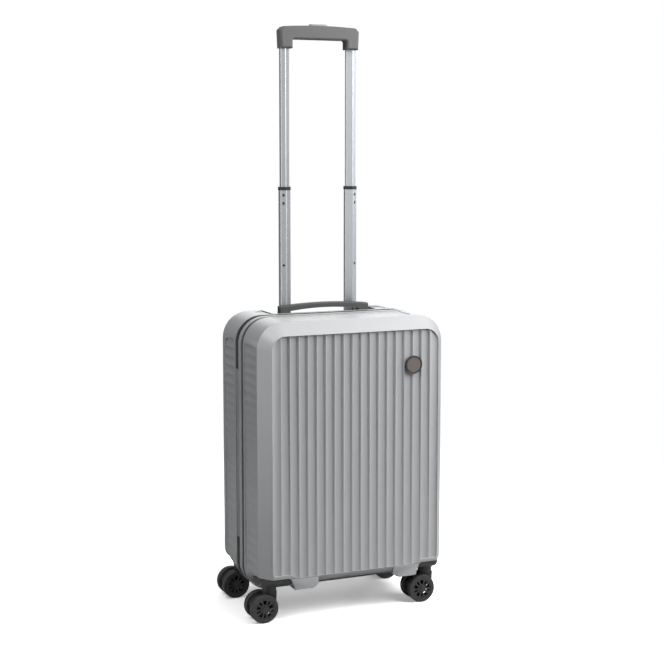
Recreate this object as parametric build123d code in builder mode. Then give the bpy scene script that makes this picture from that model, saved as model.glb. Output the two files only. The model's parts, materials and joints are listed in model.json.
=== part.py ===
from build123d import *
import os
from math import copysign, hypot

os.makedirs("parts", exist_ok=True)

# A hard cabin suitcase on four twin-wheel casters, standing with its pull handle drawn out.
# X is the width, Y the depth with the front at -Y, and Z is up from the floor the wheels stand on.

# The case, both shells together, without wheels and handles
case_width = 355.0
case_depth = 228.0
case_height = 464.0
rim_drop = 30.0  # how much lower the case hangs at its rims than at its faces
top_corner_radius = 48.0
rim_corner_radius = 45.0  # bottom corners where the halves meet
wheel_corner_radius = 22.0  # bottom corners above the wheels, fuller
front_edge_radius = 20.0
back_edge_radius = 21.0
shell_wall = 2.6

# How the depth is shared at the rims
front_shell_rim = -8.0
rim_groove = 3.0
band_width = 14.0
band_thickness = 2.2
lip_setback = 1.0  # of the front shell's lip behind the band
tape_width = 8.0
rim_lip = 5.0  # straight stretch beside each rim
bottom_blend = 52.0  # over which the bottom rises and its corners fill out
seat_gap = 0.1  # between rings that lie on one another
split_gap = 0.3  # between the two halves

# Zipper and hinge strip
tape_inset = 1.4
tape_thickness = 1.2
coil_width = 2.3
coil_inset = 0.4
hinge_low_margin = 62.0
hinge_top_margin = 94.0
hinge_strip_inset = 0.7
hinge_strip_thickness = 1.4
hinge_strip_gap = 0.4

# Fluting, the same pitch on every face
flute_pitch = 16.77
front_flute_depth = 1.9
front_panel_recess = 1.0
side_flute_depth = 1.0
side_flute_recess = 0.7
side_flute_top_margin = 42.0
side_flute_low_margin = 15.0
flute_face_margin = 30.0  # smooth frame between the flutes and the front or back face
front_flute_margin = 13.0  # between the front half's rim and its flutes
back_flute_margin = 8.0
flute_corner_radius = 22.0

# Fluted front panel
panel_side_margin = 18.0
panel_top_margin = 22.0
panel_low_margin = 14.0
panel_step_rise = 7.0
panel_step_run = 11.0
panel_step_from_side = 53.5
panel_corner_radius = 24.0
panel_step_radius = 5.0
panel_trim = 0.4  # the outline runs this far inside the outer flutes

# Fluted back panel
back_panel_side_flutes = 1  # flutes fewer at each side than on the front
back_panel_tray_margin = 18.3
back_panel_wheel_margin = 23.0

# Round badge on the front panel
badge_from_side = 67.5
badge_from_panel_top = 63.0
badge_diameter = 32.5
badge_ring = 3.0
badge_height = 2.6
badge_face_drop = 0.8
badge_chamfer = 0.4
badge_gap = 0.05

# Wheel wells and the mounts that fill them
well_width = 58.5  # at the underside
well_slant = 7.0  # narrower at the roof
well_depth = 64.0
well_height = 15.0
well_tip_drop = 6.5  # of the roof towards the rim
well_tip_length = 26.0
well_corner_radius = 7.0
mount_gap = 0.2
swivel_clearance = 0.8  # round the sweep of the wheels
foot_width = 38.0
foot_length = 62.0
foot_setback = 1.5
foot_depth = 8.0
foot_radius = 7.0

# Casters
stem_from_side = 24.5
stem_from_face = 37.5
trail = 15.0
wheel_radius = 25.4
wheel_width = 12.0
wheel_side_gap = 0.6
tyre_thickness = 7.0
tyre_chamfer = 1.6
hub_recess = 1.0
hub_eye_radius = 7.2
hub_eye_rim = 1.0
hub_rim = 2.8
wide_window = 27.0
narrow_window = 15.0
window_pairs = 5
cap_height = 1.4
cap_radius = 5.4
cap_draft = 20.0
axle_radius = 2.5
axle_end_wall = 2.0
collar_radius = 13.5
collar_height = 5.7
swivel_gap = 0.3
neck_radius = 12.6
neck_height = 8.4
neck_wheel_gap = 0.8
fork_half_width = 8.4
fork_neck_inset = 1.0
fork_waist_inset = 2.0
fork_boss_radius = 8.5
guard_setback = 3.9  # inside the tread
guard_thickness = 2.4
guard_start = 52.0
guard_sweep = 118.0
pin_radius = 4.0
pin_floor_wall = 1.6
pin_roof = 3.0
run_clearance = 0.05
press_clearance = 0.02

# Pull handle poles: a ridged tube, given for the middle stage
pole_x = 65.0
pole_from_back = 47.0
pole_width = 21.0
pole_depth = 18.0
ridge_offset = 1.0
outer_shoulder = 5.0
inner_shoulder = 9.2
pole_edge_radius = 2.2
pole_wall = 1.3
pole_clearance = 0.35
middle_stage_rise = 222.0  # drawn out of the case
middle_pole_overlap = 34.3
inner_stage_rise = 255.5  # drawn out of the middle stage
inner_pole_overlap = 49.0
pole_collar_height = 6.0
pole_collar_lip = 0.6
pole_collar_clearance = 0.25
pole_window_drops = (9.0, 24.0)  # of the two latch windows below the top of each middle pole
pole_window_width = 4.2
pole_window_height = 5.0
pole_pin_drop = 137.5
pole_pin_radius = 2.3
pole_rivet_drop = 59.0
pole_rivet_radius = 2.4
pole_rivet_draft = 25.0
pole_rivet_height = 0.2  # stays within the running clearance

# Grip
grip_leg_height = 16.5
grip_shoulder_rise = 32.5
grip_end_rise = 39.0
grip_height = 41.5
grip_leg_outer_wall = 0.5
grip_leg_inner_wall = 1.5
grip_shoulder_flare = 1.5
grip_top_setback = 5.0
grip_depth = 25.0
grip_edge_radius = 4.0
grip_socket = 13.5
grip_floor = 4.0  # under the link
button_length = 34.5
button_width = 11.0
button_proud = 3.0
button_travel = 2.5
button_clearance = 0.2
button_edge_radius = 1.2
link_channel_height = 9.0
link_width = 6.0
link_height = 3.5
link_clearance = 0.4
rod_radius = 2.0
rod_end_rise = 11.0

# Tray in the top of the back shell, with the carry handle across it
tray_half_width = 105.0
tray_front_margin = 6.0
tray_depth = 41.5
tray_wall = 2.2
tray_gap = 0.3
tray_corner_radius = 12.0
tray_bezel_height = 3.0
tray_bezel_wall = 2.2
tray_hole_clearance = 0.3

carry_from_tray = 11.0
carry_width = 16.5
carry_end_margin = 17.0
carry_block_length = 20.0
carry_block_sink = 2.5
carry_block_foot = 5.5  # below the bar
carry_block_height = 14.5
carry_bow = 4.5
carry_edge_radius = 2.5
carry_lift = 8.0
carry_pocket_lip = 2.4
carry_pocket_gap = 0.4
post_length = 8.0
post_width = 7.0
post_head_length = 12.0
post_head_height = 2.4
post_stop_gap = 0.3  # left under the head at full lift
post_base_length = 16.0
post_base_height = 10.0

# Combination lock in the right side of the front half, beside the zipper
lock_from_top = 212.0
lock_from_rim = 1.5
lock_width = 34.5
lock_height = 78.0
lock_corner_radius = 7.0
lock_proud = 2.4
lock_depth = 13.0
lock_gap = 0.2
lock_chamfer = 1.2
lock_wall = 1.6
dial_count = 3
dial_pitch = 9.0
dial_first = -17.0  # from the middle of the lock to the lowest dial
dial_radius = 7.0
dial_width = 5.6
dial_proud = 1.0
dial_clearance = 0.3
dial_ribs = 10
dial_rib_depth = 0.5
dial_rib_width = 1.6
key_slot_length = 9.0
key_slot_width = 2.0
key_slot_height = 27.0  # from the middle of the lock

# Zipper sliders with their pulls
slider_offsets = (68.0, -18.0)  # from the middle of the lock
slider_length = 13.0
slider_width = 9.0
slider_thickness = 3.4
slider_gap = 0.3
slider_waist = 5.0
slider_corner_radius = 1.2
pull_length = 30.0
pull_width = 7.0
pull_thickness = 1.8
pull_eye = 2.2
pull_corner_radius = 2.3

# Inside the halves
foot_bracket_end = 8.5  # past the poles
foot_bracket_half_depth = 15.0
foot_bracket_floor = 12.5
foot_bracket_socket = 12.0
lining_thickness = 1.5
lining_gap = 0.5
lining_low_gap = 1.5

cut_margin = 20.0  # how far cutters reach past what they cut
pick_margin = 1.0  # for picking corners by place

# Depths, from the front shell's rim to the back
half_width = case_width / 2
half_depth = case_depth / 2
band_front = front_shell_rim + rim_groove
band_back = band_front + band_width
lip_end = band_back - lip_setback
zipper_split = band_back + tape_width
back_shell_rim = zipper_split + tape_width
tray_front = back_shell_rim + tray_front_margin
carry_y = tray_front + carry_from_tray
pole_y = half_depth - pole_from_back
stem_y = half_depth - stem_from_face
well_inner_y = half_depth - well_depth
well_tip_y = well_inner_y + well_tip_length
lock_back = front_shell_rim - lock_from_rim
lock_front = lock_back - lock_width
divider_front = lock_back + lining_gap
foot_bracket_front = pole_y - foot_bracket_half_depth

# Heights, from the wheels up
neck_bottom = 2 * wheel_radius + neck_wheel_gap
neck_top = neck_bottom + neck_height
pin_floor = neck_bottom + pin_floor_wall
collar_bottom = neck_top + swivel_gap
case_bottom = collar_bottom + collar_height
case_top = case_bottom + case_height
rim_bottom = case_bottom - rim_drop
well_top = case_bottom + well_height
pin_top = well_top - pin_roof
cavity_inset = front_panel_recess + front_flute_depth + shell_wall
outer_pole_bottom = case_bottom + cavity_inset + foot_bracket_floor
foot_bracket_top = outer_pole_bottom + foot_bracket_socket
lining_bottom = well_top + cavity_inset + lining_low_gap
hinge_low = case_bottom + hinge_low_margin
hinge_high = case_top - hinge_top_margin
panel_bottom = case_bottom + panel_low_margin
panel_step_height = panel_bottom + panel_step_rise
panel_top = case_top - panel_top_margin
badge_z = panel_top - badge_from_panel_top
lock_z = case_top - lock_from_top
side_flute_top = case_top - side_flute_top_margin
tray_floor = case_top - tray_depth
tray_bottom = tray_floor - tray_wall
back_panel_bottom = well_top + back_panel_wheel_margin
back_panel_top = tray_bottom - back_panel_tray_margin
carry_block_bottom = case_top - carry_block_sink
carry_bar_bottom = carry_block_bottom + carry_block_foot
carry_end_top = carry_block_bottom + carry_block_height
carry_crown = carry_end_top + carry_bow
post_top = carry_block_bottom + carry_pocket_lip + carry_lift + post_stop_gap + post_head_height
middle_pole_bottom = tray_bottom - middle_pole_overlap
middle_pole_top = case_top + middle_stage_rise
inner_pole_bottom = middle_pole_top - inner_pole_overlap
rod_bottom = inner_pole_bottom + rod_end_rise
grip_bottom = middle_pole_top + inner_stage_rise
grip_bar_underside = grip_bottom + grip_leg_height
link_channel_floor = grip_bar_underside + grip_floor
grip_crown = grip_bottom + grip_height

# Widths
well_inner_x = half_width - well_width
foot_inner_x = well_inner_x - foot_width
stem_x = half_width - stem_from_side
panel_step_outer = half_width - panel_step_from_side
panel_step_inner = panel_step_outer - panel_step_run
badge_x = half_width - badge_from_side
carry_half_length = tray_half_width - carry_end_margin
grip_leg_outer = pole_x + pole_width / 2 + grip_leg_outer_wall
grip_leg_inner = pole_x - pole_width / 2 - grip_leg_inner_wall
foot_bracket_half_length = pole_x + pole_width / 2 + foot_bracket_end
wheel_offset = fork_half_width + wheel_side_gap + wheel_width / 2
swivel_sweep = hypot(trail + wheel_radius, wheel_offset + wheel_width / 2)
sweep_y = stem_y - swivel_sweep - swivel_clearance
tyre_inner_radius = wheel_radius - tyre_thickness
hub_width = wheel_width - 2 * hub_recess
window_inner_radius = hub_eye_radius + hub_eye_rim
window_outer_radius = tyre_inner_radius - hub_rim
guard_radius = wheel_radius - guard_setback

# As many whole flutes as each face holds
front_flutes = int((case_width - 2 * panel_side_margin) / flute_pitch)
back_flutes = front_flutes - 2 * back_panel_side_flutes
side_flutes = int((side_flute_top - case_bottom - side_flute_low_margin) / flute_pitch)
top_flutes = int((case_width - 2 * top_corner_radius) / flute_pitch)


def across(y):
    # cross-section plane at depth y, seen from the front
    return Plane.XZ.offset(-y)


def save(piece, name):
    piece.part.label = name
    export_step(piece.part, f"parts/{name}.step")


def case_outline(inset, bottom, low_radius):
    with Locations((0, (case_top + bottom) / 2)):
        Rectangle(case_width - 2 * inset, case_top - bottom - 2 * inset)
    fillet(vertices().group_by(Axis.Y)[0], low_radius - inset)
    fillet(vertices().group_by(Axis.Y)[-1], top_corner_radius - inset)


def rim_ring(outer_inset, inner_inset, y_front, y_back):
    for inset, mode in ((outer_inset, Mode.ADD), (inner_inset, Mode.SUBTRACT)):
        with BuildSketch(across(y_back)) as section:
            case_outline(inset, rim_bottom, rim_corner_radius)
        extrude(section.sketch, amount=y_back - y_front, mode=mode)


def half_solid(rim, face, inset, edge_radius, past_rim=0.0):
    # one half of the case as a full block, from its rim to its rounded face
    toward = copysign(1, face - rim)
    start = rim - toward * past_rim
    land = rim + toward * rim_lip
    full = land + toward * bottom_blend
    end = face - toward * inset
    with BuildPart() as body:
        with BuildSketch(across(start)):
            case_outline(inset, rim_bottom, rim_corner_radius)
        extrude(amount=-toward * abs(land - start))
        with BuildSketch(across(land)):
            case_outline(inset, rim_bottom, rim_corner_radius)
        with BuildSketch(across(full)):
            case_outline(inset, case_bottom, wheel_corner_radius)
        loft(ruled=True)
        with BuildSketch(across(full)):
            case_outline(inset, case_bottom, wheel_corner_radius)
        extrude(amount=-toward * abs(end - full))
        face_edges = faces().filter_by(Axis.Y).sort_by(Axis.Y)[-1 if toward > 0 else 0].edges()
        fillet(face_edges, edge_radius - inset)
    return body.part


def mount_recess(half, side, grow):
    # the space for one caster mount, half -1 for the front and side -1 for the left
    inner_y = well_inner_y - grow
    roof = well_top + grow
    outside_x = half_width + cut_margin
    outside_y = half_depth + cut_margin
    with BuildPart() as recess:
        with BuildSketch(across(half * inner_y)):
            Polygon(
                (side * (well_inner_x - grow), case_bottom),
                (side * (well_inner_x + well_slant - grow), roof),
                (side * outside_x, roof),
                (side * outside_x, case_bottom),
                align=None,
            )
            corner = vertices().group_by(Axis.Y)[-1].sort_by(Axis.X)[0 if side > 0 else -1]
            fillet(corner, well_corner_radius + grow)
        extrude(amount=-half * (outside_y - inner_y))
        with BuildSketch(Plane.YZ):
            Polygon(
                (half * inner_y, case_bottom),
                (half * inner_y, roof - well_tip_drop),
                (half * (well_tip_y - grow), roof),
                (half * outside_y, roof),
                (half * outside_y, case_bottom),
                align=None,
            )
        extrude(amount=side * outside_x, mode=Mode.INTERSECT)
    return recess.part


def wheel_room(half, side, grow):
    # the space below a mount that the swivelling wheels sweep
    low = rim_bottom - cut_margin
    slant = well_slant / well_height
    outside_x = half_width + cut_margin
    with BuildPart() as room:
        with BuildSketch(across(half * (sweep_y - grow))):
            Polygon(
                (side * (well_inner_x - grow), case_bottom + grow),
                (side * (well_inner_x - grow - slant * (case_bottom - low)), low),
                (side * outside_x, low),
                (side * outside_x, case_bottom + grow),
                align=None,
            )
        extrude(amount=-half * (half_depth + cut_margin - sweep_y + grow))
    return room.part


def scallops(first, base, depth, pitch, count, back, upright=False):
    # a row of concave arcs that starts at first, with straight sides out to back
    def place(along, out):
        return (out, along) if upright else (along, out)

    last = first + pitch * count
    with BuildLine() as outline:
        for n in range(count):
            left = first + n * pitch
            ThreePointArc(
                place(left, base), place(left + pitch / 2, base + depth), place(left + pitch, base)
            )
        Polyline(place(last, base), place(last, back), place(first, back), place(first, base))
    make_face(outline.edges())


def skin_flutes(y_near, y_far):
    # cutters for the flutes of the sides and the top, between the rim margin and the face margin
    y_low, y_high = sorted((y_near, y_far))
    face_side = -1 if y_far < y_near else 1
    length = y_high - y_low
    side_low = side_flute_top - side_flutes * flute_pitch
    with BuildPart() as sides:
        for side in (-1, 1):
            base = side * (half_width - side_flute_recess)
            with BuildSketch(across(y_high)):
                scallops(
                    side_low, base, -side * side_flute_depth, flute_pitch, side_flutes,
                    side * (half_width + cut_margin), upright=True,
                )
            extrude(amount=length)
        with BuildSketch(Plane.YZ.offset(-half_width - cut_margin)):
            with Locations(((y_low + y_high) / 2, (side_low + side_flute_top) / 2)):
                Rectangle(length, side_flute_top - side_low - 2 * panel_trim)
            corner = vertices().group_by(Axis.Y)[-1].sort_by(Axis.X)[0 if face_side < 0 else -1]
            fillet(corner, flute_corner_radius)
        extrude(amount=case_width + 2 * cut_margin, mode=Mode.INTERSECT)
    with BuildPart() as top:
        with BuildSketch(across(y_high)):
            scallops(
                -top_flutes * flute_pitch / 2, case_top - side_flute_recess, -side_flute_depth,
                flute_pitch, top_flutes, case_top + cut_margin,
            )
        extrude(amount=length)
        with BuildSketch(Plane.XY.offset(case_top - cut_margin)):
            with Locations((0, (y_low + y_high) / 2)):
                Rectangle(top_flutes * flute_pitch - 2 * panel_trim, length)
            fillet(vertices().group_by(Axis.Y)[0 if face_side < 0 else -1], flute_corner_radius)
        extrude(amount=2 * cut_margin, mode=Mode.INTERSECT)
    return sides.part, top.part


def shell_feet(half):
    # the two low pads beside the wheels, sloped at their inner ends
    with BuildPart() as pads:
        for side in (-1, 1):
            with BuildPart(mode=Mode.PRIVATE) as pad:
                with BuildSketch(across(half * (half_depth - foot_setback))):
                    Polygon(
                        (side * (foot_inner_x - foot_depth), case_bottom + foot_depth),
                        (side * (foot_inner_x - foot_depth), case_bottom),
                        (side * foot_inner_x, case_bottom - foot_depth),
                        (side * (well_inner_x + foot_depth), case_bottom - foot_depth),
                        (side * (well_inner_x + foot_depth), case_bottom + foot_depth),
                        align=None,
                    )
                extrude(amount=half * foot_length)
                fillet(faces().sort_by(Axis.Z)[0].edges(), foot_radius)
            add(pad.part)
    return pads.part


front_outer = half_solid(front_shell_rim, -half_depth, 0, front_edge_radius)
front_cavity = half_solid(front_shell_rim, -half_depth, cavity_inset, front_edge_radius, cut_margin)
back_outer = half_solid(back_shell_rim, half_depth, 0, back_edge_radius)
back_cavity = half_solid(back_shell_rim, half_depth, cavity_inset, back_edge_radius, cut_margin)

# Front panel flutes, cut to the outline of the panel with its raised corners over the wheels
with BuildPart() as panel_flutes:
    panel_half_width = front_flutes * flute_pitch / 2
    with BuildSketch(Plane.XY.offset(panel_bottom)):
        scallops(
            -panel_half_width, front_panel_recess - half_depth, front_flute_depth,
            flute_pitch, front_flutes, -half_depth - cut_margin,
        )
    extrude(amount=panel_top - panel_bottom)
    with BuildSketch(across(-half_depth + cut_margin)):
        with BuildLine():
            Polyline(
                (0, panel_top),
                (panel_half_width - panel_trim, panel_top),
                (panel_half_width - panel_trim, panel_step_height),
                (panel_step_outer, panel_step_height),
                (panel_step_inner, panel_bottom),
                (0, panel_bottom),
                close=True,
            )
        make_face()
        step_line = panel_step_height + pick_margin
        upper = vertices().filter_by(lambda v: v.X > panel_step_outer and v.Y > step_line)
        fillet(upper, panel_corner_radius)
        lower = vertices().filter_by(lambda v: v.X > pick_margin and v.Y < step_line)
        fillet(lower, panel_step_radius)
        mirror(about=Plane.YZ)
    extrude(amount=2 * cut_margin, mode=Mode.INTERSECT)

# Back panel flutes, between the wheels and the handle tray
with BuildPart() as back_flutes_cutter:
    back_half_width = back_flutes * flute_pitch / 2
    with BuildSketch(Plane.XY.offset(back_panel_bottom)):
        scallops(
            -back_half_width, half_depth - front_panel_recess, -front_flute_depth,
            flute_pitch, back_flutes, half_depth + cut_margin,
        )
    extrude(amount=back_panel_top - back_panel_bottom)
    with BuildSketch(across(half_depth + cut_margin)):
        with Locations((0, (back_panel_top + back_panel_bottom) / 2)):
            RectangleRounded(
                2 * (back_half_width - panel_trim),
                back_panel_top - back_panel_bottom,
                panel_corner_radius,
            )
    extrude(amount=2 * cut_margin, mode=Mode.INTERSECT)

front_side_flutes, front_top_flutes = skin_flutes(
    front_shell_rim - front_flute_margin, flute_face_margin - half_depth
)
back_side_flutes, back_top_flutes = skin_flutes(
    back_shell_rim + back_flute_margin, half_depth - flute_face_margin
)

# The lock's face lies in the plane of the right side, with its long way upright
lock_plane = Plane(
    origin=(half_width, (lock_front + lock_back) / 2, lock_z), x_dir=(0, 1, 0), z_dir=(1, 0, 0)
)

# Front shell with the stepped lip that carries the rim band
with BuildPart() as front_shell:
    add(front_outer)
    add(shell_feet(-1))
    rim_ring(band_thickness + seat_gap, cavity_inset, front_shell_rim, lip_end)
    cavity = front_cavity
    for side in (-1, 1):
        for space in (mount_recess, wheel_room):
            cavity = cavity - space(-1, side, cavity_inset)
            add(space(-1, side, 0), mode=Mode.SUBTRACT)
    add(cavity, mode=Mode.SUBTRACT)
    add(panel_flutes.part, mode=Mode.SUBTRACT)
    add(front_side_flutes, mode=Mode.SUBTRACT)
    add(front_top_flutes, mode=Mode.SUBTRACT)
    # opening for the lock, through the side wall
    with BuildSketch(lock_plane):
        RectangleRounded(lock_width, lock_height, lock_corner_radius)
    extrude(amount=lock_depth, both=True, mode=Mode.SUBTRACT)
save(front_shell, "front_shell")

# Back shell, open at the top where the handle tray sits
with BuildPart() as back_shell:
    add(back_outer)
    add(shell_feet(1))
    cavity = back_cavity
    for side in (-1, 1):
        for space in (mount_recess, wheel_room):
            cavity = cavity - space(1, side, cavity_inset)
            add(space(1, side, 0), mode=Mode.SUBTRACT)
    add(cavity, mode=Mode.SUBTRACT)
    add(back_side_flutes, mode=Mode.SUBTRACT)
    add(back_top_flutes, mode=Mode.SUBTRACT)
    add(back_flutes_cutter.part, mode=Mode.SUBTRACT)
    with BuildSketch(Plane.XY.offset(tray_bottom)):
        with Locations((0, tray_front + half_depth)):
            Rectangle(2 * tray_half_width, 2 * half_depth)
        fillet(vertices().group_by(Axis.Y)[0], tray_corner_radius)
    extrude(amount=case_top, mode=Mode.SUBTRACT)
save(back_shell, "back_shell")

# Trim band round the front half's rim
with BuildPart() as rim_band:
    rim_ring(0, band_thickness, band_front, band_back)
save(rim_band, "rim_band")


def zipper_half(butt, split):
    # a tape that butts against its half and carries a coil at the split, left out along the hinge
    low, high = sorted((butt, split))
    coil_edge = split + copysign(coil_width, butt - split)
    coil_low, coil_high = sorted((coil_edge, split))
    with BuildPart() as zipper:
        rim_ring(tape_inset, tape_inset + tape_thickness, low, high)
        with BuildPart(mode=Mode.PRIVATE) as coil:
            rim_ring(coil_inset, tape_inset + tape_thickness, coil_low, coil_high)
        add(coil.part)
        with BuildSketch(Plane.XY.offset(hinge_low)):
            with Locations((-half_width, (low + high) / 2)):
                Rectangle(2 * cut_margin, 2 * cut_margin)
        extrude(amount=hinge_high - hinge_low, mode=Mode.SUBTRACT)
    return zipper


front_zipper = zipper_half(band_back, zipper_split - split_gap / 2)
save(front_zipper, "front_zipper")
back_zipper = zipper_half(back_shell_rim, zipper_split + split_gap / 2)
save(back_zipper, "back_zipper")

# Flexible strip that hinges the halves on the left side
with BuildPart() as hinge_strip:
    strip_x = -half_width + hinge_strip_inset + hinge_strip_thickness / 2
    with BuildSketch(Plane.XY.offset(hinge_low + hinge_strip_gap)):
        with Locations((strip_x, (band_back + back_shell_rim) / 2)):
            Rectangle(hinge_strip_thickness, back_shell_rim - band_back - 2 * hinge_strip_gap)
    extrude(amount=hinge_high - hinge_low - 2 * hinge_strip_gap)
save(hinge_strip, "hinge_strip")

# Blank round badge: a ring and the face set in it
badge_plane = across(-half_depth + front_panel_recess - badge_gap)
with BuildPart() as badge_ring_piece:
    with BuildSketch(badge_plane):
        with Locations((badge_x, badge_z)):
            Circle(badge_diameter / 2)
            Circle(badge_diameter / 2 - badge_ring, mode=Mode.SUBTRACT)
    extrude(amount=badge_height)
    chamfer(edges().group_by(Axis.Y)[0], badge_chamfer)
save(badge_ring_piece, "badge_ring")

with BuildPart() as badge_face:
    with BuildSketch(badge_plane):
        with Locations((badge_x, badge_z)):
            Circle(badge_diameter / 2 - badge_ring - badge_gap)
    extrude(amount=badge_height - badge_face_drop)
save(badge_face, "badge_face")

# Combination lock: housing with a slot for each dial, and three ribbed dials on one shaft line
dial_x = half_width + lock_proud + dial_proud - dial_radius
dial_y = (lock_front + lock_back) / 2
dial_heights = [lock_z + dial_first + n * dial_pitch for n in range(dial_count)]
with BuildPart() as lock_housing:
    with BuildSketch(lock_plane.offset(lock_proud)):
        RectangleRounded(
            lock_width - 2 * lock_gap, lock_height - 2 * lock_gap, lock_corner_radius - lock_gap
        )
    extrude(amount=-lock_proud - lock_depth)
    chamfer(faces().sort_by(Axis.X)[-1].edges(), lock_chamfer)
    for height in dial_heights:
        with BuildSketch(Plane.XY.offset(height - dial_width / 2 - dial_clearance)):
            with Locations((dial_x, dial_y)):
                Circle(dial_radius + dial_clearance)
        extrude(amount=dial_width + 2 * dial_clearance, mode=Mode.SUBTRACT)
    with BuildSketch(lock_plane.offset(lock_proud)):
        with Locations((0, key_slot_height)):
            SlotOverall(key_slot_length, key_slot_width)
    extrude(amount=-lock_wall, mode=Mode.SUBTRACT)
save(lock_housing, "lock_housing")

for number, height in enumerate(dial_heights, start=1):
    with BuildPart() as dial:
        with BuildSketch(Plane.XY.offset(height - dial_width / 2)):
            with Locations((dial_x, dial_y)):
                Circle(dial_radius)
                with PolarLocations(dial_radius, dial_ribs, 180 / dial_ribs):
                    Rectangle(2 * dial_rib_depth, dial_rib_width, mode=Mode.SUBTRACT)
        extrude(amount=dial_width)
    save(dial, f"lock_dial_{number}")

# Zipper sliders over the coil on the right side, each with its pull hanging down
slider_back_x = half_width - coil_inset + slider_gap
for offset_z, name in zip(slider_offsets, ("upper", "lower")):
    slider_plane = Plane(
        origin=(slider_back_x, zipper_split, lock_z + offset_z), x_dir=(0, 1, 0), z_dir=(1, 0, 0)
    )
    with BuildPart() as slider:
        with BuildSketch(slider_plane):
            with BuildLine():
                Polyline(
                    (-slider_waist / 2, -slider_length / 2),
                    (slider_waist / 2, -slider_length / 2),
                    (slider_width / 2, slider_length / 2),
                    (-slider_width / 2, slider_length / 2),
                    close=True,
                )
            make_face()
            fillet(vertices(), slider_corner_radius)
        extrude(amount=slider_thickness - pull_thickness)
        with BuildSketch(slider_plane.offset(slider_thickness - pull_thickness)):
            with Locations((0, slider_length / 4 - pull_length / 2)):
                RectangleRounded(pull_width, pull_length, pull_corner_radius)
            with Locations((0, slider_length / 4 - pull_length + pull_width / 2)):
                Circle(pull_eye, mode=Mode.SUBTRACT)
        extrude(amount=pull_thickness)
    save(slider, f"zipper_slider_{name}")

# Casters
corners = {
    "front_left": (-1, -1),
    "front_right": (-1, 1),
    "back_left": (1, -1),
    "back_right": (1, 1),
}


def window_outline(width, at):
    # one opening between two spokes, an annular sector centred at an angle
    start = at - width / 2
    with BuildLine() as outline:
        outer = CenterArc((0, 0), window_outer_radius, start, width)
        inner = CenterArc((0, 0), window_inner_radius, start, width)
        Line(outer @ 0, inner @ 0)
        Line(outer @ 1, inner @ 1)
    make_face(outline.edges())


with BuildPart() as hub_master:
    # wheel hub on the Y axis, with its capped outer face towards -Y
    with BuildSketch(across(hub_width / 2)):
        Circle(tyre_inner_radius - press_clearance)
    extrude(amount=hub_width)
    with BuildSketch(across(hub_width / 2)):
        for n in range(window_pairs):
            pair_angle = 90 + n * 360 / window_pairs
            window_outline(wide_window, pair_angle)
            window_outline(narrow_window, pair_angle + 180 / window_pairs)
    extrude(amount=hub_width, mode=Mode.SUBTRACT)
    with BuildSketch(across(-hub_width / 2)):
        Circle(cap_radius)
    extrude(amount=cap_height, taper=cap_draft)
    with BuildSketch(across(wheel_width / 2)):
        Circle(hub_eye_radius)
        Circle(axle_radius + run_clearance, mode=Mode.SUBTRACT)
    extrude(amount=(wheel_width - hub_width) / 2)
    with BuildSketch(across(hub_width / 2)):
        Circle(axle_radius + run_clearance)
    extrude(amount=hub_width - axle_end_wall, mode=Mode.SUBTRACT)

with BuildPart() as tyre_master:
    with BuildSketch(across(wheel_width / 2)):
        Circle(wheel_radius)
        Circle(tyre_inner_radius, mode=Mode.SUBTRACT)
    extrude(amount=wheel_width)
    tread_edges = edges().filter_by(GeomType.CIRCLE).group_by(SortBy.RADIUS)[-1]
    chamfer(tread_edges, tyre_chamfer)

with BuildPart() as fork_master:
    # swivel fork with its stem on the Z axis, trailing to -X, between the twin wheels
    fork_plane = across(fork_half_width)
    with BuildSketch(fork_plane):
        with BuildLine():
            Polyline(
                (neck_radius - fork_neck_inset, neck_bottom + fork_neck_inset),
                (neck_radius - fork_waist_inset, wheel_radius + fork_boss_radius),
                (-trail, wheel_radius - fork_boss_radius),
                (-trail - fork_boss_radius, wheel_radius),
                (-trail, wheel_radius + fork_boss_radius),
                (-neck_radius + fork_waist_inset, neck_bottom + fork_neck_inset),
                close=True,
            )
        make_face()
        with Locations((-trail, wheel_radius)):
            Circle(fork_boss_radius)
    extrude(amount=2 * fork_half_width)
    with BuildSketch(fork_plane):
        with BuildLine():
            outer = CenterArc((-trail, wheel_radius), guard_radius, guard_start, guard_sweep)
            inner = CenterArc(
                (-trail, wheel_radius), guard_radius - guard_thickness, guard_start, guard_sweep
            )
            Line(outer @ 0, inner @ 0)
            Line(outer @ 1, inner @ 1)
        make_face()
    extrude(amount=2 * fork_half_width)
    with BuildSketch(Plane.XY.offset(neck_bottom)):
        Circle(neck_radius)
    extrude(amount=neck_top - neck_bottom)
    with BuildSketch(Plane.XY.offset(pin_floor)):
        Circle(pin_radius + run_clearance)
    extrude(amount=neck_top - pin_floor, mode=Mode.SUBTRACT)
    with BuildSketch(fork_plane):
        with Locations((-trail, wheel_radius)):
            Circle(axle_radius + press_clearance)
    extrude(amount=2 * fork_half_width, mode=Mode.SUBTRACT)

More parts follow.
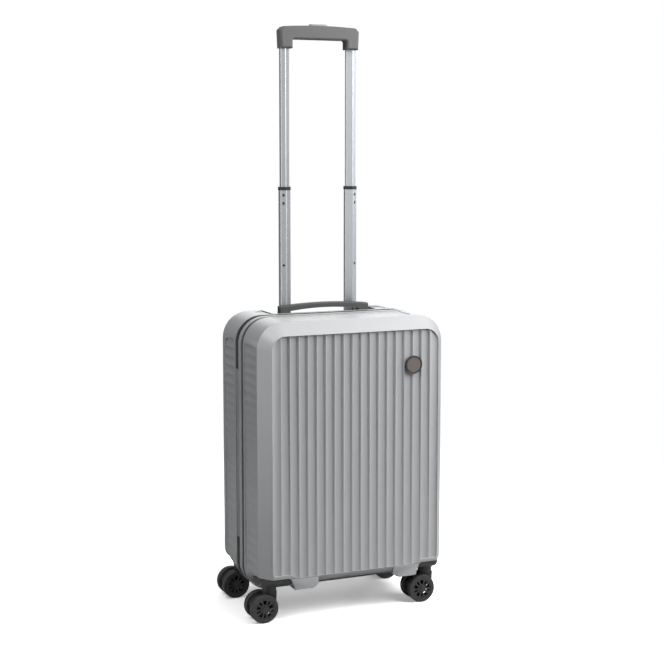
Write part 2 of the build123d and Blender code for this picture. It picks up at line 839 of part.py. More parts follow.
axle_half_length = wheel_offset + hub_width / 2 - axle_end_wall - press_clearance - run_clearance
for corner, (half, side) in corners.items():
    stem = (side * stem_x, half * stem_y)
    with BuildPart() as wheel_mount:
        add(front_outer if half < 0 else back_outer)
        add(mount_recess(half, side, -mount_gap), mode=Mode.INTERSECT)
        with BuildSketch(Plane.XY.offset(collar_bottom)):
            with Locations(stem):
                Circle(collar_radius)
        extrude(amount=well_top - well_tip_drop - mount_gap - collar_bottom)
        with BuildSketch(Plane.XY.offset(collar_bottom)):
            with Locations(stem):
                Circle(pin_radius + press_clearance)
        extrude(amount=pin_top - collar_bottom, mode=Mode.SUBTRACT)
    save(wheel_mount, f"wheel_mount_{corner}")

    with BuildPart() as fork:
        with Locations((*stem, 0)):
            add(fork_master.part)
    save(fork, f"fork_{corner}")

    with BuildPart() as axle:
        with BuildSketch(across(stem[1] + axle_half_length)):
            with Locations((stem[0] - trail, wheel_radius)):
                Circle(axle_radius)
        extrude(amount=2 * axle_half_length)
    save(axle, f"axle_{corner}")

    for place, outward in (("front", -1), ("back", 1)):
        turn = 0 if outward < 0 else 180
        spot = Location(
            (stem[0] - trail, stem[1] + outward * wheel_offset, wheel_radius), (0, 0, turn)
        )
        with BuildPart() as hub:
            with Locations(spot):
                add(hub_master.part)
        save(hub, f"hub_{corner}_{place}")
        with BuildPart() as tyre:
            with Locations(spot):
                add(tyre_master.part)
        save(tyre, f"tyre_{corner}_{place}")

for half, end in ((-1, "front"), (1, "back")):
    with BuildPart() as king_pins:
        with BuildSketch(Plane.XY.offset(pin_floor + run_clearance)):
            with GridLocations(2 * stem_x, 1, 2, 1):
                with Locations((0, half * stem_y)):
                    Circle(pin_radius)
        extrude(amount=pin_top - pin_floor - 2 * run_clearance)
    save(king_pins, f"king_pins_{end}")


# Pull handle poles
def pole_outline(side, inset):
    # ridged section, its ridge to the front and a little to the outside
    half = pole_width / 2
    front = -pole_depth / 2
    with Locations((side * pole_x, pole_y)):
        Polygon(
            (side * ridge_offset, front),
            (side * half, front + outer_shoulder),
            (side * half, -front),
            (-side * half, -front),
            (-side * half, front + inner_shoulder),
            align=None,
        )
    if inset:
        offset(amount=-inset, kind=Kind.INTERSECTION)
    fillet(vertices(), pole_edge_radius)


def pole(side, inset, low, high):
    with BuildPart() as tube:
        with BuildSketch(Plane.XY.offset(low)):
            pole_outline(side, inset)
        extrude(amount=high - low)
        with BuildSketch(Plane.XY.offset(low)):
            pole_outline(side, inset + pole_wall)
        extrude(amount=high - low, mode=Mode.SUBTRACT)
    return tube


def facet_plane(side, height):
    # on the outer front facet of a middle pole, facing outwards
    run = pole_width / 2 - ridge_offset
    middle = (
        side * (pole_x + ridge_offset + run / 2),
        pole_y - pole_depth / 2 + outer_shoulder / 2,
        height,
    )
    along = (-side * run, -outer_shoulder, 0)
    return Plane(origin=middle, x_dir=along, z_dir=(side * outer_shoulder, -run, 0))


stage_step = pole_wall + pole_clearance
inner_pole_top = grip_bottom + grip_socket
for side, hand in ((-1, "left"), (1, "right")):
    outer_pole = pole(side, -stage_step, outer_pole_bottom, tray_bottom)
    save(outer_pole, f"outer_pole_{hand}")
    inner_pole = pole(side, stage_step, inner_pole_bottom, inner_pole_top)
    save(inner_pole, f"inner_pole_{hand}")
    plain_pole = pole(side, 0, middle_pole_bottom, middle_pole_top)
    with BuildPart() as middle_pole:
        add(plain_pole.part)
        for drop in pole_window_drops:
            with BuildSketch(facet_plane(side, middle_pole_top - drop)):
                Rectangle(pole_window_width, pole_window_height)
            extrude(amount=-2 * pole_wall, mode=Mode.SUBTRACT)
        with BuildSketch(facet_plane(side, middle_pole_top - pole_pin_drop)):
            Circle(pole_pin_radius)
        extrude(amount=-2 * pole_wall, mode=Mode.SUBTRACT)
        with BuildSketch(facet_plane(side, middle_pole_top - pole_rivet_drop)):
            Circle(pole_rivet_radius)
        extrude(amount=pole_rivet_height, taper=pole_rivet_draft)
    save(middle_pole, f"middle_pole_{hand}")

with BuildPart() as pole_collars:
    for inset, mode in (
        (-pole_collar_lip, Mode.ADD),
        (stage_step - pole_collar_clearance, Mode.SUBTRACT),
    ):
        for side in (-1, 1):
            with BuildSketch(Plane.XY.offset(middle_pole_top)):
                pole_outline(side, inset)
            extrude(amount=pole_collar_height, mode=mode)
save(pole_collars, "pole_collars")

# Grip: an arch with flared legs, a crowned bar and sockets for the poles
with BuildPart() as grip:
    with BuildSketch(across(pole_y + grip_depth / 2)):
        with BuildLine():
            top_x = grip_leg_outer - grip_top_setback
            top_end = grip_bottom + grip_end_rise
            ThreePointArc((-top_x, top_end), (0, grip_crown), (top_x, top_end))
            for side in (-1, 1):
                Polyline(
                    (side * top_x, top_end),
                    (side * (grip_leg_outer + grip_shoulder_flare), grip_bottom + grip_shoulder_rise),
                    (side * grip_leg_outer, grip_bottom),
                    (side * grip_leg_inner, grip_bottom),
                    (side * grip_leg_inner, grip_bar_underside),
                )
            Line((-grip_leg_inner, grip_bar_underside), (grip_leg_inner, grip_bar_underside))
        make_face()
        fillet(vertices().filter_by(lambda v: v.Y > grip_bottom + pick_margin), grip_edge_radius)
    extrude(amount=grip_depth)
    long_edges = faces().filter_by(Axis.Y).edges()
    fillet(long_edges, grip_edge_radius)
    for side in (-1, 1):
        with BuildSketch(Plane.XY.offset(grip_bottom)):
            pole_outline(side, stage_step - press_clearance)
        extrude(amount=grip_socket, mode=Mode.SUBTRACT)
        with BuildSketch(Plane.XY.offset(grip_bottom)):
            with Locations((side * pole_x, pole_y)):
                Circle(rod_radius + link_clearance)
        extrude(amount=link_channel_floor - grip_bottom + link_channel_height / 2, mode=Mode.SUBTRACT)
    with BuildSketch(Plane.XY.offset(link_channel_floor)):
        with Locations((0, pole_y)):
            Rectangle(2 * (pole_x + rod_radius + link_clearance), link_width + 2 * link_clearance)
    extrude(amount=link_channel_height, mode=Mode.SUBTRACT)
    with BuildSketch(Plane.XY.offset(link_channel_floor)):
        with Locations((0, pole_y)):
            SlotOverall(button_length + 2 * button_clearance, button_width + 2 * button_clearance)
    extrude(amount=grip_crown + button_proud - link_channel_floor, mode=Mode.SUBTRACT)
save(grip, "grip")

link_bottom = link_channel_floor + button_travel + link_clearance
with BuildPart() as release_button:
    with BuildSketch(Plane.XY.offset(link_bottom + link_height)):
        with Locations((0, pole_y)):
            SlotOverall(button_length, button_width)
    extrude(amount=grip_crown + button_proud - link_bottom - link_height)
    fillet(edges().group_by(Axis.Z)[-1], button_edge_radius)
save(release_button, "release_button")

with BuildPart() as release_link:
    with BuildSketch(Plane.XY.offset(link_bottom)):
        with Locations((0, pole_y)):
            Rectangle(2 * (pole_x + rod_radius), link_width)
    extrude(amount=link_height)
    with BuildSketch(Plane.XY.offset(rod_bottom)):
        with GridLocations(2 * pole_x, 1, 2, 1):
            with Locations((0, pole_y)):
                Circle(rod_radius)
    extrude(amount=link_bottom - rod_bottom)
save(release_link, "release_link")

# Tray: floor, three walls and two bezels round the poles, open to the back
with BuildPart() as handle_tray:
    with BuildSketch(Plane.XY.offset(tray_bottom)):
        with Locations((0, tray_front + tray_gap + half_depth)):
            Rectangle(2 * (tray_half_width - tray_gap), 2 * half_depth)
        fillet(vertices().group_by(Axis.Y)[0], tray_corner_radius - tray_gap)
    extrude(amount=case_top - tray_bottom)
    with BuildSketch(Plane.XY.offset(tray_floor)):
        inner_front = tray_front + tray_gap + tray_wall
        with Locations((0, inner_front + half_depth)):
            Rectangle(2 * (tray_half_width - tray_gap - tray_wall), 2 * half_depth)
        fillet(vertices().group_by(Axis.Y)[0], tray_corner_radius - tray_gap - tray_wall)
    extrude(amount=case_top - tray_floor, mode=Mode.SUBTRACT)
    add(back_outer, mode=Mode.INTERSECT)
    for side in (-1, 1):
        with BuildSketch(Plane.XY.offset(tray_bottom)):
            pole_outline(side, -tray_hole_clearance - tray_bezel_wall)
        extrude(amount=tray_wall + tray_bezel_height)
    for side in (-1, 1):
        with BuildSketch(Plane.XY.offset(tray_bottom)):
            pole_outline(side, -tray_hole_clearance)
        extrude(amount=tray_wall + tray_bezel_height, mode=Mode.SUBTRACT)
save(handle_tray, "handle_tray")

# Carry handle: a bowed bar with end blocks that slide on two headed posts
block_centre = carry_half_length - carry_block_length / 2
with BuildPart() as carry_handle:
    block_inner = carry_half_length - carry_block_length
    with BuildSketch(across(carry_y + carry_width / 2)):
        with BuildLine():
            ThreePointArc(
                (-carry_half_length, carry_end_top), (0, carry_crown), (carry_half_length, carry_end_top)
            )
            for side in (-1, 1):
                Polyline(
                    (side * carry_half_length, carry_end_top),
                    (side * carry_half_length, carry_block_bottom),
                    (side * block_inner, carry_block_bottom),
                    (side * block_inner, carry_bar_bottom),
                )
            bar_rise = carry_crown - carry_end_top
            ThreePointArc(
                (-block_inner, carry_bar_bottom), (0, carry_bar_bottom + bar_rise),
                (block_inner, carry_bar_bottom),
            )
        make_face()
        fillet(vertices().group_by(Axis.Y)[-1], carry_edge_radius)
    extrude(amount=carry_width)
    fillet(faces().filter_by(Axis.Y).edges().group_by(Axis.Z)[-1], carry_edge_radius)
    pocket_low = carry_block_bottom + carry_pocket_lip
    with BuildSketch(Plane.XY.offset(pocket_low)):
        with GridLocations(2 * block_centre, 1, 2, 1):
            with Locations((0, carry_y)):
                Rectangle(post_head_length + 2 * carry_pocket_gap, post_width + 2 * carry_pocket_gap)
    extrude(amount=post_top + carry_pocket_gap - pocket_low, mode=Mode.SUBTRACT)
    with BuildSketch(Plane.XY.offset(carry_block_bottom)):
        with GridLocations(2 * block_centre, 1, 2, 1):
            with Locations((0, carry_y)):
                Rectangle(post_length + 2 * carry_pocket_gap, post_width + 2 * carry_pocket_gap)
    extrude(amount=carry_pocket_lip, mode=Mode.SUBTRACT)
save(carry_handle, "carry_handle")

with BuildPart() as carry_posts:
    for length, width, low, high in (
        (post_base_length, carry_width, tray_floor, tray_floor + post_base_height),
        (post_length, post_width, tray_floor, post_top),
        (post_head_length, post_width, post_top - post_head_height, post_top),
    ):
        with BuildSketch(Plane.XY.offset(low)):
            with GridLocations(2 * block_centre, 1, 2, 1):
                with Locations((0, carry_y)):
                    Rectangle(length, width)
        extrude(amount=high - low)
save(carry_posts, "carry_posts")

# Bracket that holds the feet of the outer poles on the floor of the back shell
with BuildPart() as pole_foot:
    with BuildSketch(Plane.XY.offset(rim_bottom)):
        with Locations((0, pole_y)):
            RectangleRounded(
                2 * foot_bracket_half_length, 2 * foot_bracket_half_depth, pole_edge_radius
            )
    extrude(amount=foot_bracket_top - rim_bottom)
    add(half_solid(back_shell_rim, half_depth, cavity_inset + seat_gap, back_edge_radius),
        mode=Mode.INTERSECT)
    for side in (-1, 1):
        with BuildSketch(Plane.XY.offset(outer_pole_bottom)):
            pole_outline(side, -stage_step - press_clearance)
        extrude(amount=foot_bracket_top - outer_pole_bottom, mode=Mode.SUBTRACT)
save(pole_foot, "pole_foot")

# Lined board in front of the poles, and the divider that closes the front half
with BuildPart() as lining_board:
    board_top = tray_bottom - lining_gap
    with BuildSketch(across(foot_bracket_front)):
        with Locations((0, (lining_bottom + board_top) / 2)):
            Rectangle(2 * (half_width - cavity_inset - lining_gap), board_top - lining_bottom)
        fillet(vertices(), flute_corner_radius)
    extrude(amount=lining_thickness)
save(lining_board, "lining_board")

with BuildPart() as divider:
    with BuildSketch(across(divider_front + lining_thickness)):
        case_outline(cavity_inset + lining_gap, rim_bottom, rim_corner_radius)
    extrude(amount=lining_thickness)
save(divider, "divider")
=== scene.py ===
import json
import math
import bmesh
import bpy
from mathutils import Matrix, Vector, noise


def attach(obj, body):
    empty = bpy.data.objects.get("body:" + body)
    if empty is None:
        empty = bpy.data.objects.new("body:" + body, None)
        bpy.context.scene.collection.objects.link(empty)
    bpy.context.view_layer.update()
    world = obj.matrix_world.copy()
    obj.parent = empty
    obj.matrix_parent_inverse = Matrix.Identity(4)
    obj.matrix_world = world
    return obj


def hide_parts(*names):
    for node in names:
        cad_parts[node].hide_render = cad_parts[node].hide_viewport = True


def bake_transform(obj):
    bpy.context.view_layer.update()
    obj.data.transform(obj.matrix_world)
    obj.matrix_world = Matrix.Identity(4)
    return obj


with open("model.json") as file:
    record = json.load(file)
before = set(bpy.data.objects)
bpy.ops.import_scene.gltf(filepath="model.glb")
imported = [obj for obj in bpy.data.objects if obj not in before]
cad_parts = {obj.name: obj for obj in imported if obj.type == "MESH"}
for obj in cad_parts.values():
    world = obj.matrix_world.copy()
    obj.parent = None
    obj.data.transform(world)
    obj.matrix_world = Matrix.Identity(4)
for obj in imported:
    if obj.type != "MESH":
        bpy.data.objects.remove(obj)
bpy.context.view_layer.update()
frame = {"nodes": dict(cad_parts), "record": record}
nodes = frame["nodes"]


# shader maths

def plug(value, socket):
    if isinstance(value, Wire):
        socket.id_data.links.new(value.socket, socket)
    else:
        socket.default_value = value


class Wire:  # a node socket that can stand in a Python sum
    def __init__(self, finish, socket):
        self.finish = finish
        self.socket = socket

    def calc(self, operation, *terms):
        return self.finish.node("ShaderNodeMath", {"operation": operation}, dict(enumerate(terms)))

    def __add__(self, other):
        return self.calc("ADD", self, other)

    def __radd__(self, other):
        return self.calc("ADD", other, self)

    def __sub__(self, other):
        return self.calc("SUBTRACT", self, other)

    def __rsub__(self, other):
        return self.calc("SUBTRACT", other, self)

    def __mul__(self, other):
        return self.calc("MULTIPLY", self, other)

    def __rmul__(self, other):
        return self.calc("MULTIPLY", other, self)

    def __abs__(self):
        return self.calc("ABSOLUTE", self)

    def sin(self):
        return self.calc("SINE", self)

    def blend(self, other, share):  # share of this one, the rest of the other
        return share * self + (1 - share) * other

    def between(self, low, high):  # 0 at low, 1 at high, eased
        eased = {"interpolation_type": "SMOOTHSTEP"}
        limits = {"Value": self, "From Min": low, "From Max": high}
        return self.finish.node("ShaderNodeMapRange", eased, limits, "Result")


class Finish:  # one material, or the world, and its nodes
    def __init__(self, name, world=False):
        self.owner = (bpy.data.worlds if world else bpy.data.materials).new(name)
        self.owner.use_nodes = True
        self.tree = self.owner.node_tree
        self.tree.nodes.clear()

    def node(self, kind, settings=None, sockets=None, out=0):
        made = self.tree.nodes.new(kind)
        for key, value in (settings or {}).items():
            setattr(made, key, value)
        for key, value in (sockets or {}).items():
            plug(value, made.inputs[key])
        if out is None:
            return [Wire(self, socket) for socket in made.outputs]
        return Wire(self, made.outputs[out]) if made.outputs else None

    def place(self):  # metres, in the frame of the piece at rest
        return self.node("ShaderNodeTexCoord", out="Object")

    def axes(self, vector):
        return self.node("ShaderNodeSeparateXYZ", {}, {"Vector": vector}, None)

    def rays(self):  # the kinds of ray, by name
        return {wire.socket.name: wire for wire in self.node("ShaderNodeLightPath", out=None)}

    def speckle(self, vector, size, detail=2.0, roughness=0.5):
        sockets = {"Vector": vector, "Scale": 1 / size, "Detail": detail, "Roughness": roughness}
        return self.node("ShaderNodeTexNoise", {"noise_dimensions": "3D"}, sockets)

    def cells(self, vector, size, feature, out):
        sockets = {"Vector": vector, "Scale": 1 / size}
        return self.node("ShaderNodeTexVoronoi", {"feature": feature}, sockets, out)

    def stretch(self, vector, factors):
        return self.node("ShaderNodeVectorMath", {"operation": "MULTIPLY"}, {0: vector, 1: factors})

    def tint(self, factor, first, second):  # from one colour to another
        return self.node("ShaderNodeMix", {"data_type": "RGBA"}, {0: factor, 6: first, 7: second}, 2)

    def tone(self, factor, colour, shares):  # from a darker to a lighter share of one colour
        dark, light = shares
        return self.tint(factor, shade(colour, dark), shade(colour, light))

    def relief(self, height, depth, strength):
        return self.node("ShaderNodeBump", {}, {"Height": height, "Distance": depth, "Strength": strength})

    def coat(self, sockets):
        self.close(self.node("ShaderNodeBsdfPrincipled", {}, sockets))
        return self.owner

    def close(self, shader, kind="ShaderNodeOutputMaterial"):
        self.node(kind, {}, {"Surface": shader})


def shade(colour, share):
    return (*(c * share for c in colour), 1)


def wave(value, pitch):  # 0 to 1 and back over one pitch
    return (value * (2 * math.pi / pitch)).sin() * 0.5 + 0.5


# finishes, by the record's material slots

shellPaint = {
    "colour": (0.452, 0.461, 0.472), "tones": (0.93, 1.07), "fleck": 0.00045, "cloud": 0.09,
    "fleckShare": 0.5, "rough": 0.40, "cloudRough": 0.06, "metal": 0.10, "coat": 0.06, "coatRough": 0.25,
    "peel": 0.0022, "fleckRise": 0.4, "depth": 0.00006, "show": 0.5,
    "rubHeights": (0.035, 0.13), "rubStretch": (1, 1, 4), "rubSize": 0.006, "rubEdges": (0.56, 0.72),
    "rubShow": 0.35, "rubTone": 1.12, "rubRough": 0.08,
}


def makeShell(name, p):
    f = Finish(name)
    at = f.place()
    fleck = f.axes(f.cells(at, p["fleck"], "F1", "Color"))[0]
    cloud = f.speckle(at, p["cloud"], detail=3)
    peel = f.speckle(at, p["peel"], detail=1)  # slight orange peel of the moulding
    low = 1 - f.axes(at)[2].between(*p["rubHeights"])
    rubbed = f.speckle(f.stretch(at, p["rubStretch"]), p["rubSize"], detail=4).between(*p["rubEdges"]) * low
    base = f.tone(fleck.blend(cloud, p["fleckShare"]), p["colour"], p["tones"])
    base = f.tint(rubbed * p["rubShow"], base, shade(p["colour"], p["rubTone"]))
    return f.coat({
        "Base Color": base, "Metallic": p["metal"],
        "Coat Weight": p["coat"], "Coat Roughness": p["coatRough"],
        "Roughness": p["rough"] + p["cloudRough"] * cloud + p["rubRough"] * rubbed,
        "Normal": f.relief(peel + p["fleckRise"] * fleck, p["depth"], p["show"])})


bandPaint = {
    "colour": (0.44, 0.445, 0.45), "tones": (0.86, 1.06), "pitch": 0.0016, "middle": 0.283,
    "ribShare": 0.75, "cloud": 0.03, "metal": 0.15, "rough": 0.46, "cloudRough": 0.08,
    "depth": 0.00012, "show": 0.7,
}


def makeBand(name, p):
    f = Finish(name)
    at = f.place()
    x, y, z = f.axes(at)
    rib = wave(abs(z - p["middle"]) - abs(x) + y, p["pitch"])  # runs round the rim, so the ribs lean
    cloud = f.speckle(at, p["cloud"], detail=3)
    base = f.tone(rib.blend(cloud, p["ribShare"]), p["colour"], p["tones"])
    return f.coat({
        "Base Color": base, "Metallic": p["metal"], "Roughness": p["rough"] + p["cloudRough"] * cloud,
        "Normal": f.relief(rib, p["depth"], p["show"])})


wovenTape = {
    "tones": (0.7, 1.25), "overShare": 0.7, "weaveShare": 0.6, "fuzz": 0.0007, "fuzzRise": 0.3,
    "rough": 0.72, "fuzzRough": 0.15, "sheenRough": 0.4, "depth": 0.00015, "show": 0.8,
}


def makeTape(name, colour, pitch, sheen):
    p = wovenTape
    f = Finish(name)
    at = f.place()
    x, y, z = f.axes(at)
    along = abs(z - bandPaint["middle"]) - abs(x)
    weave = wave(along + y, pitch).blend(wave(along - y, pitch), p["overShare"])
    fuzz = f.speckle(at, p["fuzz"])
    base = f.tone(weave.blend(fuzz, p["weaveShare"]), colour, p["tones"])
    return f.coat({
        "Base Color": base, "Roughness": p["rough"] + p["fuzzRough"] * fuzz,
        "Sheen Weight": sheen, "Sheen Roughness": p["sheenRough"],
        "Normal": f.relief(weave + p["fuzzRise"] * fuzz, p["depth"], p["show"])})


plainCloth = {
    "tones": (0.8, 1.2), "slub": 0.03, "slubStretch": (1, 1, 14), "weaveShare": 0.45, "fuzz": 0.0009,
    "fuzzRise": 0.25, "rough": 0.78, "slubRough": 0.12, "sheen": 0.25, "sheenRough": 0.45,
    "depth": 0.0002, "show": 0.7,
}


def makeCloth(name, colour, pitch):
    p = plainCloth
    f = Finish(name)
    at = f.place()
    x, _, z = f.axes(at)
    slub = f.speckle(f.stretch(at, p["slubStretch"]), p["slub"], detail=3)
    fuzz = f.speckle(at, p["fuzz"])
    weave = wave(x, pitch) * wave(z, pitch) + p["fuzzRise"] * fuzz
    base = f.tone(weave.blend(slub, p["weaveShare"]), colour, p["tones"])
    return f.coat({
        "Base Color": base, "Roughness": p["rough"] + p["slubRough"] * slub,
        "Sheen Weight": p["sheen"], "Sheen Roughness": p["sheenRough"],
        "Normal": f.relief(weave, p["depth"], p["show"])})


moulding = {
    "tones": (0.85, 1.18), "cloud": 0.02, "cloudShare": 0.6, "cloudRough": 0.10, "show": 0.6,
    "wear": 0.004, "wearEdges": (0.55, 0.8), "wearShow": 0.18, "wearTone": 1.7, "wearPolish": 0.06,
}


def makeMoulded(name, colour, rough, grain=0.0006, depth=0.00008, coat=0.0):
    p = moulding
    f = Finish(name)
    at = f.place()
    pebble = f.cells(at, grain, "SMOOTH_F1", "Distance")
    cloud = f.speckle(at, p["cloud"], detail=4)
    worn = f.speckle(at, p["wear"], detail=5, roughness=0.6).between(*p["wearEdges"])
    base = f.tone(cloud.blend(pebble, p["cloudShare"]), colour, p["tones"])
    base = f.tint(worn * p["wearShow"], base, shade(colour, p["wearTone"]))
    return f.coat({
        "Base Color": base, "Roughness": rough + p["cloudRough"] * cloud - p["wearPolish"] * worn,
        "Coat Weight": coat, "Normal": f.relief(pebble, depth, p["show"])})


tread = {
    "tones": (0.8, 1.3), "dust": 0.006, "dustShare": 0.7, "fine": 0.0005, "linePitch": 0.0021,
    "lineEdges": (0.7, 0.98), "lineShare": 0.5, "rough": 0.50, "dustRough": 0.22,
    "depth": 0.0001, "show": 0.5,
}


def makeTyre(name, colour):
    p = tread
    f = Finish(name)
    at = f.place()
    dust = f.speckle(at, p["dust"], detail=5, roughness=0.65)
    fine = f.speckle(at, p["fine"])
    ring = wave(f.axes(at)[1], p["linePitch"]).between(*p["lineEdges"])  # faint moulding lines
    base = f.tone(dust.blend(fine, p["dustShare"]), colour, p["tones"])
    return f.coat({
        "Base Color": base, "Roughness": p["rough"] + p["dustRough"] * dust,
        "Normal": f.relief(ring.blend(fine, p["lineShare"]), p["depth"], p["show"])})


brushing = {
    "tones": (0.88, 1.06), "cloud": 0.05, "streakShare": 0.6, "streakRough": 0.16, "streakMean": 0.5,
    "cloudRough": 0.05, "depth": 0.00002, "show": 0.5,
}


def makeBrushed(name, colour, rough, lengths, metal=1.0):
    p = brushing
    f = Finish(name)
    at = f.place()
    streak = f.speckle(f.stretch(at, tuple(1 / s for s in lengths)), 1.0, detail=3, roughness=0.7)
    cloud = f.speckle(at, p["cloud"], detail=3)
    base = f.tone(streak.blend(cloud, p["streakShare"]), colour, p["tones"])
    uneven = p["streakRough"] * (streak - p["streakMean"])
    return f.coat({
        "Base Color": base, "Metallic": metal, "Roughness": rough + uneven + p["cloudRough"] * cloud,
        "Normal": f.relief(streak, p["depth"], p["show"])})


finishes = {
    "shell": makeShell("satinShell", shellPaint),
    "rim_trim": makeBand("ribbedBand", bandPaint),
    "hinge_tape": makeTape("hingeWeave", (0.33, 0.335, 0.34), 0.0011, 0.2),
    "zipper": makeTape("zipTape", (0.007, 0.007, 0.008), 0.0013, 0.0),
    "badge_ring": makeMoulded("badgeBlack", (0.016, 0.016, 0.017), 0.30, 0.0004, 0.00003, 0.3),
    "badge_face": makeBrushed("taupePlate", (0.160, 0.134, 0.124), 0.42, (0.02, 0.0004, 0.0004), 0.55),
    "pole": makeBrushed("satinAluminium", (0.42, 0.435, 0.455), 0.42, (0.0006, 0.0006, 0.12), 0.85),
    "black_plastic": makeMoulded("blackNylon", (0.006, 0.006, 0.007), 0.50),
    "grip": makeMoulded("gripPlastic", (0.100, 0.098, 0.098), 0.52),
    "button": makeMoulded("buttonGrey", (0.30, 0.30, 0.31), 0.45),
    "steel": makeBrushed("platedSteel", (0.56, 0.56, 0.57), 0.28, (0.001, 0.004, 0.001)),
    "carry_handle": makeMoulded("carryRubber", (0.050, 0.049, 0.050), 0.55, 0.0008, 0.0001),
    "lining": makeCloth("liningCloth", (0.17, 0.175, 0.185), 0.0012),
    "hub": makeMoulded("hubBlack", (0.018, 0.018, 0.019), 0.36, 0.0005, 0.00005),
    "tyre": makeTyre("tyreGrey", (0.032, 0.032, 0.033)),
    "lock": makeMoulded("lockGrey", (0.075, 0.075, 0.078), 0.44),
    "dial": makeMoulded("dialGrey", (0.26, 0.26, 0.27), 0.40, 0.0004, 0.00003),
    "slider": makeBrushed("gunmetal", (0.13, 0.13, 0.137), 0.34, (0.0008, 0.0008, 0.004), 0.9),
}
trims = {  # for the pieces made here
    "coil": makeMoulded("zipNylon", (0.010, 0.010, 0.011), 0.45, 0.0004, 0.00004),
    # dark rubber used as painted shade: in the rim's groove, and in the poles' windows and pin holes
    "paintedShade": makeMoulded("paintedShadeRubber", (0.028, 0.028, 0.030), 0.60, 0.0005, 0.00006),
    "thread": makeTape("sewingThread", (0.20, 0.205, 0.21), 0.0006, 0.1),
    "webbing": makeTape("strapWebbing", (0.035, 0.035, 0.038), 0.0022, 0.2),
    "paint": makeMoulded("dialPaint", (0.78, 0.78, 0.76), 0.5, 0.0005, 0.00002),
}
slots = {row["node"]: row["material_slot"] for row in frame["record"]["subparts"]}
for name, slot in slots.items():
    mesh = nodes[name].data
    mesh.materials.clear()
    mesh.materials.append(finishes[slot])
print("finishes:", len(finishes) + len(trims))


# mesh making

hair = 1e-9  # keeps a track's last station on its last leg
weld = 1e-6  # corners of a copied node closer than this are one


def addPiece(name, bm, coats, body, sharp=35):
    bmesh.ops.recalc_face_normals(bm, faces=bm.faces)
    mesh = bpy.data.meshes.new(name)
    bm.to_mesh(mesh)
    bm.free()
    for coat in coats:
        mesh.materials.append(coat)
    if "custom_normal" in mesh.attributes:  # a copied node brings its own
        mesh.attributes.remove(mesh.attributes["custom_normal"])
    mesh.shade_smooth()
    mesh.set_sharp_from_angle(angle=math.radians(sharp))
    piece = bpy.data.objects.new(name, mesh)
    bpy.context.scene.collection.objects.link(piece)
    if body:
        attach(piece, body)
    return piece


def evenTrack(line, step):  # points and directions at even distances along a polyline
    run = [0.0]
    for a, b in zip(line, line[1:]):
        run.append(run[-1] + (b - a).length)
    count = max(2, round(run[-1] / step))
    stations = []
    leg = 0
    for n in range(count + 1):
        want = min(run[-1] * n / count, run[-1] - hair)
        while run[leg + 1] < want:
            leg += 1
        a, b = line[leg], line[leg + 1]
        stations.append((a.lerp(b, (want - run[leg]) / (run[leg + 1] - run[leg])), (b - a).normalized()))
    return stations


def bridge(bm, rings, loop=False, coat=0):  # skin over rings of the same number of points
    made = []
    for a, b in zip(rings, rings[1:] + (rings[:1] if loop else [])):
        for n in range(len(a)):
            m = (n + 1) % len(a)
            made.append(bm.faces.new((a[n], a[m], b[m], b[n])))
    if not loop:
        made += [bm.faces.new(rings[0]), bm.faces.new(rings[-1])]
    for face in made:
        face.material_index = coat


def stack(bm, place, rings, coat=0):  # rings are (points, lift) pairs in the plane of place
    lifted = []
    for ring, lift in rings:
        lifted.append([bm.verts.new(place @ Vector((x, y, lift))) for x, y in ring])
    bridge(bm, lifted, coat=coat)


def roundedBox(width, height, radius, perCorner=5):
    ring = []
    for n, (sx, sy) in enumerate(((1, 1), (-1, 1), (-1, -1), (1, -1))):
        for m in range(perCorner):
            angle = math.pi / 2 * (n + m / (perCorner - 1))
            ring.append((sx * (width / 2 - radius) + radius * math.cos(angle),
                         sy * (height / 2 - radius) + radius * math.sin(angle)))
    return ring


def pad(bm, place, base, crown, lifts, coat=0, perCorner=5):  # a rounded block that steps in at its crown
    low, shoulder, top = lifts
    foot = roundedBox(*base, perCorner)
    stack(bm, place, [(foot, low), (foot, shoulder), (roundedBox(*crown, perCorner), top)], coat)


def lobedRing(radius, swell=0.0, lobes=4, count=32):
    ring = []
    for n in range(count):
        angle = 2 * math.pi * n / count
        reach = radius + swell * math.cos(lobes * angle)
        ring.append((reach * math.cos(angle), reach * math.sin(angle)))
    return ring


def turned(bm, place, radius, rings):  # rings are shares of the radius, of the lobes' swell, and lifts
    stack(bm, place, [(lobedRing(radius * share, radius * swell), lift) for share, swell, lift in rings])


def axesAt(place, x, y, z):
    return Matrix.Translation(place) @ Matrix((x, y, z)).transposed().to_4x4()


def facing(place, out, up=(0, 0, 1)):  # a matrix whose Z looks along out
    z = Vector(out).normalized()
    x = Vector(up).cross(z).normalized()
    return axesAt(place, x, z.cross(x), z)


sewing = {"round": 1 / 2.2, "crown": (0.8, 0.45), "crownRound": 1 / 6, "shoulder": 0.3, "perCorner": 3}


def sewStitch(bm, point, along, out, size, coat):  # size is length, width and height above the cloth
    length, width, height = size
    base = (length, width, width * sewing["round"])
    crown = (length * sewing["crown"][0], width * sewing["crown"][1], width * sewing["crownRound"])
    place = axesAt(point, along, along.cross(out).normalized(), out)
    pad(bm, place, base, crown, (-height, height * sewing["shoulder"], height), coat, sewing["perCorner"])


def sewRow(bm, stations, out, size, coat):
    for point, along in stations[1:-1]:
        sewStitch(bm, point, along, out, size, coat)


# rim of the case: the line that zipper, seal and hinge tape follow

rim = {"halfWidth": 0.1775, "low": 0.036, "high": 0.530, "lowRadius": 0.045, "topRadius": 0.048,
       "arcSteps": 32, "hinge": (0.128, 0.436)}


